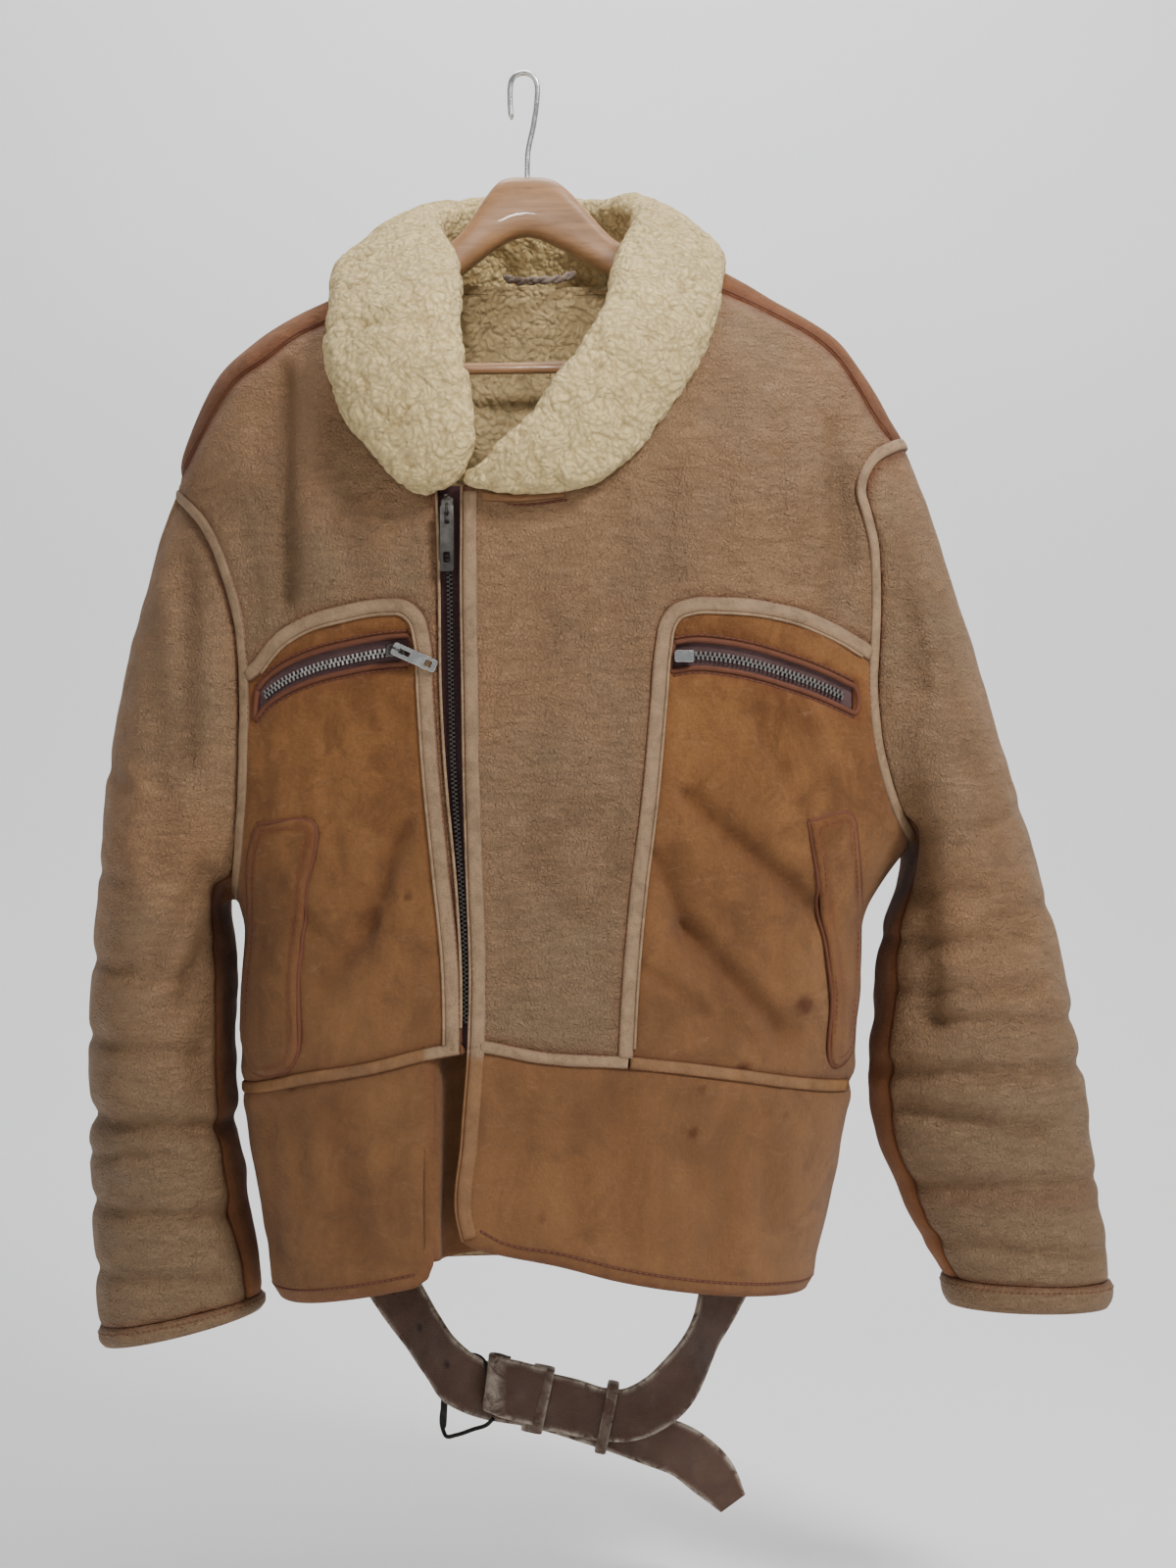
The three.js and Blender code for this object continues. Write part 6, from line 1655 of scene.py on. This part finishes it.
def make_hem_fold():
    """The right band's front edge, folded back behind the left: a section carried down the band."""
    heights = np.linspace(-651, -789, 44)
    fold_x = -57.0
    depth = body_depth(np.full(len(heights), fold_x), heights, True)
    path = smooth_line([(-6, 0.5), (3, 3), (6, 12), (14, 19), (30, 21), (49, 20)], 1.5)
    back = smooth_line([(49, 24), (30, 25), (11, 23.5), (1, 15), (-2, 7.5), (-6, 7)], 1.5)
    ring = np.concatenate([path, back])
    x = fold_x + ring[:, 0]
    share = np.clip((-760 - heights) / 29, 0, 1)
    drop = (share * 0.12)[:, None] * ring[:, 0][None]
    soft = 0.6 * np.sin(heights / 19)[:, None] + 0 * drop
    points = np.stack([np.broadcast_to(x, drop.shape), depth[:, None] + ring[:, 1] + soft,
                       heights[:, None] + drop], -1)
    points, faces = closed_sweep(points)
    low = bell(points[:, 2], 8.0, -789)
    # Painted shade: the whole fold is a little darker, as it lies back behind the left front
    obj = put_mesh("hem_fold_right", points, faces, MATERIALS["suede"], values={
        "seam": low * 0.8, "mark": 0.25 + 0 * low, "tone": 0.75 + 0 * low})
    finish_piece(obj, ["hem_band_right"])


# Belt


def strap_frames(rows, laid, step=1.6):
    """Middle, width and the two ways of a strap, read smoothly along its rows."""
    table = np.array(rows, float)
    for row in table[:laid]:
        near = float(body_depth(row[0] - row[6] / 2, row[2], False))
        far = float(body_depth(row[0] + row[6] / 2, row[2], False))
        row[1] += (near + far) / 2
        row[3:6] = (row[6], far - near, 0)
    table[:, 3:6] = unit(table[:, 3:6])
    length = path_length(table[:, :3])
    v = cubic_rows(table, length, np.linspace(0, length[-1], int(length[-1] / step) + 1))
    place, across = v[:, :3], v[:, 3:6]
    ahead = ways_along(place)
    across = unit(across - ahead * np.sum(across * ahead, axis=1)[:, None])
    return place, across, ahead, unit(np.cross(ahead, across)), v[:, 6]


def put_strap(name, rows, thick, holes=(), laid=LAID_ROWS):
    """A strap: flat across with rounded edges and a stitched groove with painted shade in it; holes are
    dimples darkened with painted shade.
    """
    place, across, ahead, up, wide = strap_frames(rows, laid)
    u = np.concatenate([[-1, -0.985, -0.95, -0.9], np.linspace(-0.84, 0.84, 17), [0.9, 0.95, 0.985, 1]])
    edge = 1 - np.clip((np.abs(u) - 0.93) / 0.07, 0, 1) ** 2
    top = thick / 2 * edge**0.5 - 0.25 * bell(np.abs(u), 0.03, 0.8)
    ring_u = np.concatenate([u, u[-2:0:-1]])
    ring_h = np.concatenate([top, -top[-2:0:-1]])
    rings = rings_on(place, across, up, ring_u[None] * wide[:, None] / 2, ring_h)
    buckled = waves(rings.reshape(-1, 3), 30, 41).reshape(rings.shape[:2]) * 0.35
    rings = rings + up[:, None] * buckled[..., None]
    points, faces = closed_sweep(rings)
    shade = 0.55 * bell(np.abs(ring_u), 0.04, 0.8)
    seam = np.tile(shade, (len(place), 1)).ravel()
    flat_up = np.repeat(up, len(ring_u), axis=0)
    for x, z in holes:
        apart = np.hypot((points[:, 0] - x) * 1.25, points[:, 2] - z)
        # Painted shade darkens each hole's dimple
        dark = np.clip((3.4 - apart) / 1.6, 0, 1)
        seam = np.maximum(seam, dark * 1.2)
        side = np.sign(np.tile(ring_h, len(place)))
        points = points - flat_up * (dark * side * 1.1)[:, None]
    worn = waves(rings.reshape(-1, 3), 22, 42) * 0.25
    rub = np.tile(np.clip((np.abs(ring_u) - 0.8) / 0.13, 0, 1), (len(place), 1)).ravel()
    rub = np.clip(rub * (0.9 + worn) + np.clip(worn, 0, 1) * 0.25, 0, 1)
    if name == "belt_fold_over":
        rub = np.maximum(rub, np.clip((-16 - points[:, 0]) / 9, 0, 0.8))
    values = {"seam": np.clip(seam, 0, 1), "rub": rub}
    obj = put_mesh(name, points, faces, MATERIALS["belt"], values=values)
    return obj, (place, up, ahead, across, wide)


def put_keeper(name, x, z, tall, wide, lean, thick, node):
    """A keeper: a rounded-oblong section carried round a rounded oblong, leaning with the strap."""
    turn = full_turn(96)
    around = full_turn(20)
    cy, cz = oblong(turn, 7)
    sx, sn = oblong(around, 3.2)
    half_y, half_z = (STRAPS_DEEP + thick) / 2, (tall + thick) / 2
    path = np.stack([0 * cy, cy * half_y, cz * half_z], -1)
    ahead = unit(np.roll(path, -1, axis=0) - np.roll(path, 1, axis=0))
    out = unit(np.cross(ahead, (1, 0, 0)))
    out = np.where(np.sum(out * path, axis=1)[:, None] < 0, -out, out)
    local = rings_on(path, np.array([[1.0, 0, 0]]), out, sx * wide / 2, sn * thick / 2)
    points = turned_about_y(local.reshape(-1, 3), lean) + (x, STRAPS_Y, z)
    quads = closed_faced(points, round_faces(len(turn), len(around)))
    rub = np.tile(np.clip(np.abs(sx) ** 3, 0.2, 1), len(turn))
    obj = put_mesh(name, points, [quads], MATERIALS["belt"], values={"rub": rub, "seam": 0 * rub})
    finish_piece(obj, [node])


def make_belt(sizes):
    runs = []
    straps = (("belt_hole_strap", HOLE_STRAP, BELT_HOLES), ("belt_buckle_strap", BUCKLE_STRAP, ()))
    for name, rows, holes in straps:
        obj, (place, up, ahead, across, wide) = put_strap(name, rows, STRAP, holes)
        finish_piece(obj, [name])
        for side in (-1, 1):
            path = place + across * (side * wide * 0.4)[:, None]
            for face in (-1, 1):
                runs.append(stitch_run(path, up * face, ahead, across, sizes.stitch_pitch / MM * 0.9, 0,
                                       STRAP / 2 - 0.1, radius=0.3))
    put_stitches("belt_stitches", runs)
    obj, _ = put_strap("belt_fold_over", FOLD_OVER, 3.0, laid=0)
    trim_piece(obj)
    put_keeper("belt_fixed_keeper", 6, -921, 43.5, 15, 0.21, 2.2, "belt_fixed_keeper")
    put_keeper("belt_loose_keeper", 55, -934, 45.5, 8, 0.2, 3.0, "belt_loose_keeper")
    y = STRAPS_Y - 3
    path = smooth_line([(x, y, z) for x, z in BUCKLE_WIRE], 1.5)
    wire = put_tube("belt_buckle_wire", path, 1.5, MATERIALS["black_metal"])
    finish_piece(wire, ["belt_buckle"])
    roller = np.linspace((-60.4, y, -919), (-61.4, y, -941), 12)
    radius = np.array([1.9, 2.4] + [2.5] * 8 + [2.4, 1.9])
    trim_piece(put_tube("belt_buckle_roller", roller, radius, MATERIALS["black_metal"]))


# Hanger and loop


def make_hanger():
    """Wood from its sections, read smoothly; its ends are lowered until they lie inside the shoulders."""
    x = np.linspace(-196, 202, 200)
    y, z, high, deep = (along(WOOD[:, 0], WOOD[:, k], x) for k in range(1, 5))
    ends = np.clip(np.minimum(x + 196, 202 - x) / 9, 0.05, 1) ** 0.5
    turn = full_turn(40)
    c, s = oblong(turn, 3)
    rings = np.stack([np.broadcast_to(x[:, None], (len(x), len(turn))),
                      y[:, None] + (deep * ends)[:, None] * c, z[:, None] + (high * ends)[:, None] * s], -1)
    flat = rings.reshape(-1, 3)
    for _ in range(30):
        middle, half, front, back = section(on_form(flat)[2])
        reach = np.where(flat[:, 1] < 0, front, back) - 10
        field = (np.abs((flat[:, 0] - middle) / (half - 10)) ** SQUARENESS
                 + np.abs(flat[:, 1] / reach) ** SQUARENESS)
        low = (field > 1) & (flat[:, 2] < -121)
        flat[:, 2] -= np.where(low, 1.0, 0)
    points, faces = closed_sweep(flat.reshape(rings.shape))
    finish_piece(put_mesh("hanger_wood", points, faces, MATERIALS["wood"]), ["hanger_wood"])
    bar = np.linspace((-189, -8, -204), (189, -8, -198), 80)
    finish_piece(put_tube("hanger_bar", bar, 4.0, MATERIALS["wood"], 20), ["hanger_bar"])
    hook = [(0, 0, -84), (0, 0, -66), (0.3, 0, -54), (4.6, 0, -32), (6.6, 0, -16)]
    angle = np.pi * np.arange(9) / 8
    hook += [(-2.4 + 9.2 * np.cos(a), 0, -7.2 + 9.2 * np.sin(a)) for a in angle]
    hook += [(-11.8, 0, -16), (-11.4, 0, -24), (-10.6, 0, -30)]
    path = smooth_line(hook, 1.2)
    radius = np.full(len(path), 1.9)
    radius[-3:] = (1.8, 1.4, 0.7)
    hook = put_tube("hanger_hook", path, radius, MATERIALS["bright_metal"], 16)
    finish_piece(hook, ["hanger_hook"])


def make_loop():
    """Two leather strands wound round each other along the loop's path."""
    path = smooth_line([(-17, 54, -127), (-10, 50, -130), (7, 48, -130), (24, 50, -128), (32, 53, -124)], 1.0)
    ahead = ways_along(path)
    side = unit(np.cross(ahead, (0, 0, 1.0)))
    up = np.cross(side, ahead)
    wind = np.arange(len(path)) * TAU / 17
    for k, start in enumerate((0, np.pi)):
        offset = (side * np.cos(wind + start)[:, None] + up * np.sin(wind + start)[:, None]) * 1.45
        points, faces = closed_sweep(tube_rings(path + offset, 1.75, 10))
        values = {"rub": np.full(len(points), 0.5), "seam": np.zeros(len(points))}
        strand = put_mesh(f"hanging_loop_strand_{k + 1}", points, faces, MATERIALS["belt"], values=values)
        finish_piece(strand, ["hanging_loop"])


# Stage


def make_stage():
    """A pale floor that sweeps up behind as a backdrop, soft lights and the photograph's camera."""
    sweep = [(-3000, -1060), (300, -1060), (1100, -1030), (1500, -700), (1560, 200), (1560, 2600)]
    line = smooth_line(sweep, 90)
    x = np.linspace(-3200, 3200, 12)
    size = (len(line), len(x))
    grid = np.stack([np.broadcast_to(v, size) for v in (x, line[:, :1], line[:, 1:])], -1)
    shader = Shader("studio paper")
    shader.colour = shader.mix(shader.noise(3, 2), (0.86, 0.86, 0.86), (0.9, 0.9, 0.9))
    paper = shader.done(0.9)
    floor = put_mesh("studio_floor", grid.reshape(-1, 3), [grid_faces(*size)], paper)
    world = bpy.data.worlds.new("studio air")
    bpy.context.scene.world = world
    world.use_nodes = True
    sky = world.node_tree.nodes["Background"].inputs
    sky["Color"].default_value = (0.93, 0.96, 1.0, 1)
    sky["Strength"].default_value = 0.28
    middle = (0.02, 0.0, -0.45)
    lights = [("key", (1.35, -1.45, 1.25), 0.7, 62, middle), ("fill", (-1.4, -2.2, -0.1), 1.6, 9, middle),
              ("top", (0.0, 0.1, 1.3), 1.2, 11, middle),
              ("backdrop", (0.0, 0.45, 1.5), 1.6, 30, (0.0, 1.6, -0.4))]
    for name, place, size, power, target in lights:
        light = bpy.data.lights.new(name, "AREA")
        light.shape = "DISK"
        light.size = size
        light.energy = power
        set_up(name, light, place, vector_turn(np.array(target) - place))
    light = bpy.data.lights.new("neck", "SPOT")
    light.energy, light.spot_size, light.spot_blend, light.shadow_soft_size = 85, np.radians(9), 0.9, 0.1
    place = np.array((0.02, -1.6, 0.0))
    set_up("neck", light, place, vector_turn(np.array((0.005, 0.08, -0.2)) - place))
    camera = bpy.data.cameras.new("camera")
    camera.lens = 57.1
    camera.sensor_width = 36
    camera.clip_end = 20
    bpy.context.scene.camera = set_up("camera", camera, (0.0415, -1.7, -0.484), (np.pi / 2, 0, 0))


def set_up(name, data, place, turn):
    obj = bpy.data.objects.new(name, data)
    obj.location = place
    obj.rotation_euler = turn
    bpy.context.scene.collection.objects.link(obj)
    return obj


def vector_turn(direction):
    """Turns that point a light's -Z along a direction: first about X from straight down, then about Z."""
    flat = np.hypot(direction[0], direction[1])
    return (np.arctan2(flat, -direction[2]), 0, np.arctan2(-direction[0], direction[1]))


# Add-on


class PieceOperator:
    """Makes one group of pieces; an error stops the script"""
    bl_options = {"REGISTER", "UNDO"}

    def execute(self, context):
        if not MATERIALS:
            make_materials(context.scene.jacket_colours)
        self.make(context.scene.jacket_sizes)
        return {"FINISHED"}


class JACKET_OT_body(PieceOperator, bpy.types.Operator):
    """Cuts the fronts, backs and hem bands from the body form, with the fold behind the front edge"""
    bl_idname = "jacket.body"
    bl_label = "Fronts, backs and hem bands"

    def make(self, sizes):
        make_body_panels(sizes)
        make_hem_fold()


class JACKET_OT_sleeves(PieceOperator, bpy.types.Operator):
    """Makes the sleeves, under sleeves and cuffs"""
    bl_idname = "jacket.sleeves"
    bl_label = "Sleeves and cuffs"

    def make(self, sizes):
        make_sleeves(sizes)


class JACKET_OT_collar(PieceOperator, bpy.types.Operator):
    """Makes the shearling collar and the lining that the neck shows"""
    bl_idname = "jacket.collar"
    bl_label = "Collar and lining"

    def make(self, sizes):
        make_collar(sizes)
        make_lining()


class JACKET_OT_tapes(PieceOperator, bpy.types.Operator):
    """Lays the seam tapes, pipings and stitching"""
    bl_idname = "jacket.tapes"
    bl_label = "Seam tapes and stitching"

    def make(self, sizes):
        make_tapes(sizes)
        make_pipings()
        make_seam_stitches(sizes)


class JACKET_OT_welts(PieceOperator, bpy.types.Operator):
    """Makes the hand-warmer welts"""
    bl_idname = "jacket.welts"
    bl_label = "Pocket welts"

    def make(self, sizes):
        make_welts(sizes)


class JACKET_OT_zips(PieceOperator, bpy.types.Operator):
    """Makes the zips with their teeth, sliders and pulls"""
    bl_idname = "jacket.zips"
    bl_label = "Zips and pulls"

    def make(self, sizes):
        make_zips()
        make_pulls()


class JACKET_OT_belt(PieceOperator, bpy.types.Operator):
    """Makes the belt's straps, keepers and buckle"""
    bl_idname = "jacket.belt"
    bl_label = "Belt"

    def make(self, sizes):
        make_belt(sizes)


class JACKET_OT_hanger(PieceOperator, bpy.types.Operator):
    """Makes the wooden hanger, its hook and the hanging loop"""
    bl_idname = "jacket.hanger"
    bl_label = "Hanger and loop"

    def make(self, sizes):
        make_hanger()
        make_loop()


class JACKET_OT_stage(PieceOperator, bpy.types.Operator):
    """Sets the floor, the lights and the camera"""
    bl_idname = "jacket.stage"
    bl_label = "Stage"

    def make(self, sizes):
        make_stage()


OPERATORS = (JACKET_OT_body, JACKET_OT_sleeves, JACKET_OT_collar, JACKET_OT_tapes, JACKET_OT_welts,
             JACKET_OT_zips, JACKET_OT_belt, JACKET_OT_hanger, JACKET_OT_stage)


class JACKET_PT_pieces(bpy.types.Panel):
    """Lists the jacket's sizes, colours and pieces"""
    bl_idname = "JACKET_PT_pieces"
    bl_label = "Flying jacket"
    bl_space_type = "VIEW_3D"
    bl_region_type = "UI"
    bl_category = "Jacket"

    def draw(self, context):
        for group in (context.scene.jacket_sizes, context.scene.jacket_colours):
            box = self.layout.box()
            for key in type(group).__annotations__:
                box.prop(group, key)
        for operator in OPERATORS:
            self.layout.operator(operator.bl_idname)


CLASSES = (JacketSizes, JacketColours, *OPERATORS, JACKET_PT_pieces)


def register():
    for cls in CLASSES:
        bpy.utils.register_class(cls)
    bpy.types.Scene.jacket_sizes = bpy.props.PointerProperty(type=JacketSizes)
    bpy.types.Scene.jacket_colours = bpy.props.PointerProperty(type=JacketColours)


def unregister():
    del bpy.types.Scene.jacket_colours
    del bpy.types.Scene.jacket_sizes
    for cls in reversed(CLASSES):
        bpy.utils.unregister_class(cls)


def main():
    register()
    for operator in OPERATORS:
        group, name = operator.bl_idname.split(".")
        getattr(getattr(bpy.ops, group), name)()
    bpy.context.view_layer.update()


if __name__ == "__main__":
    main()
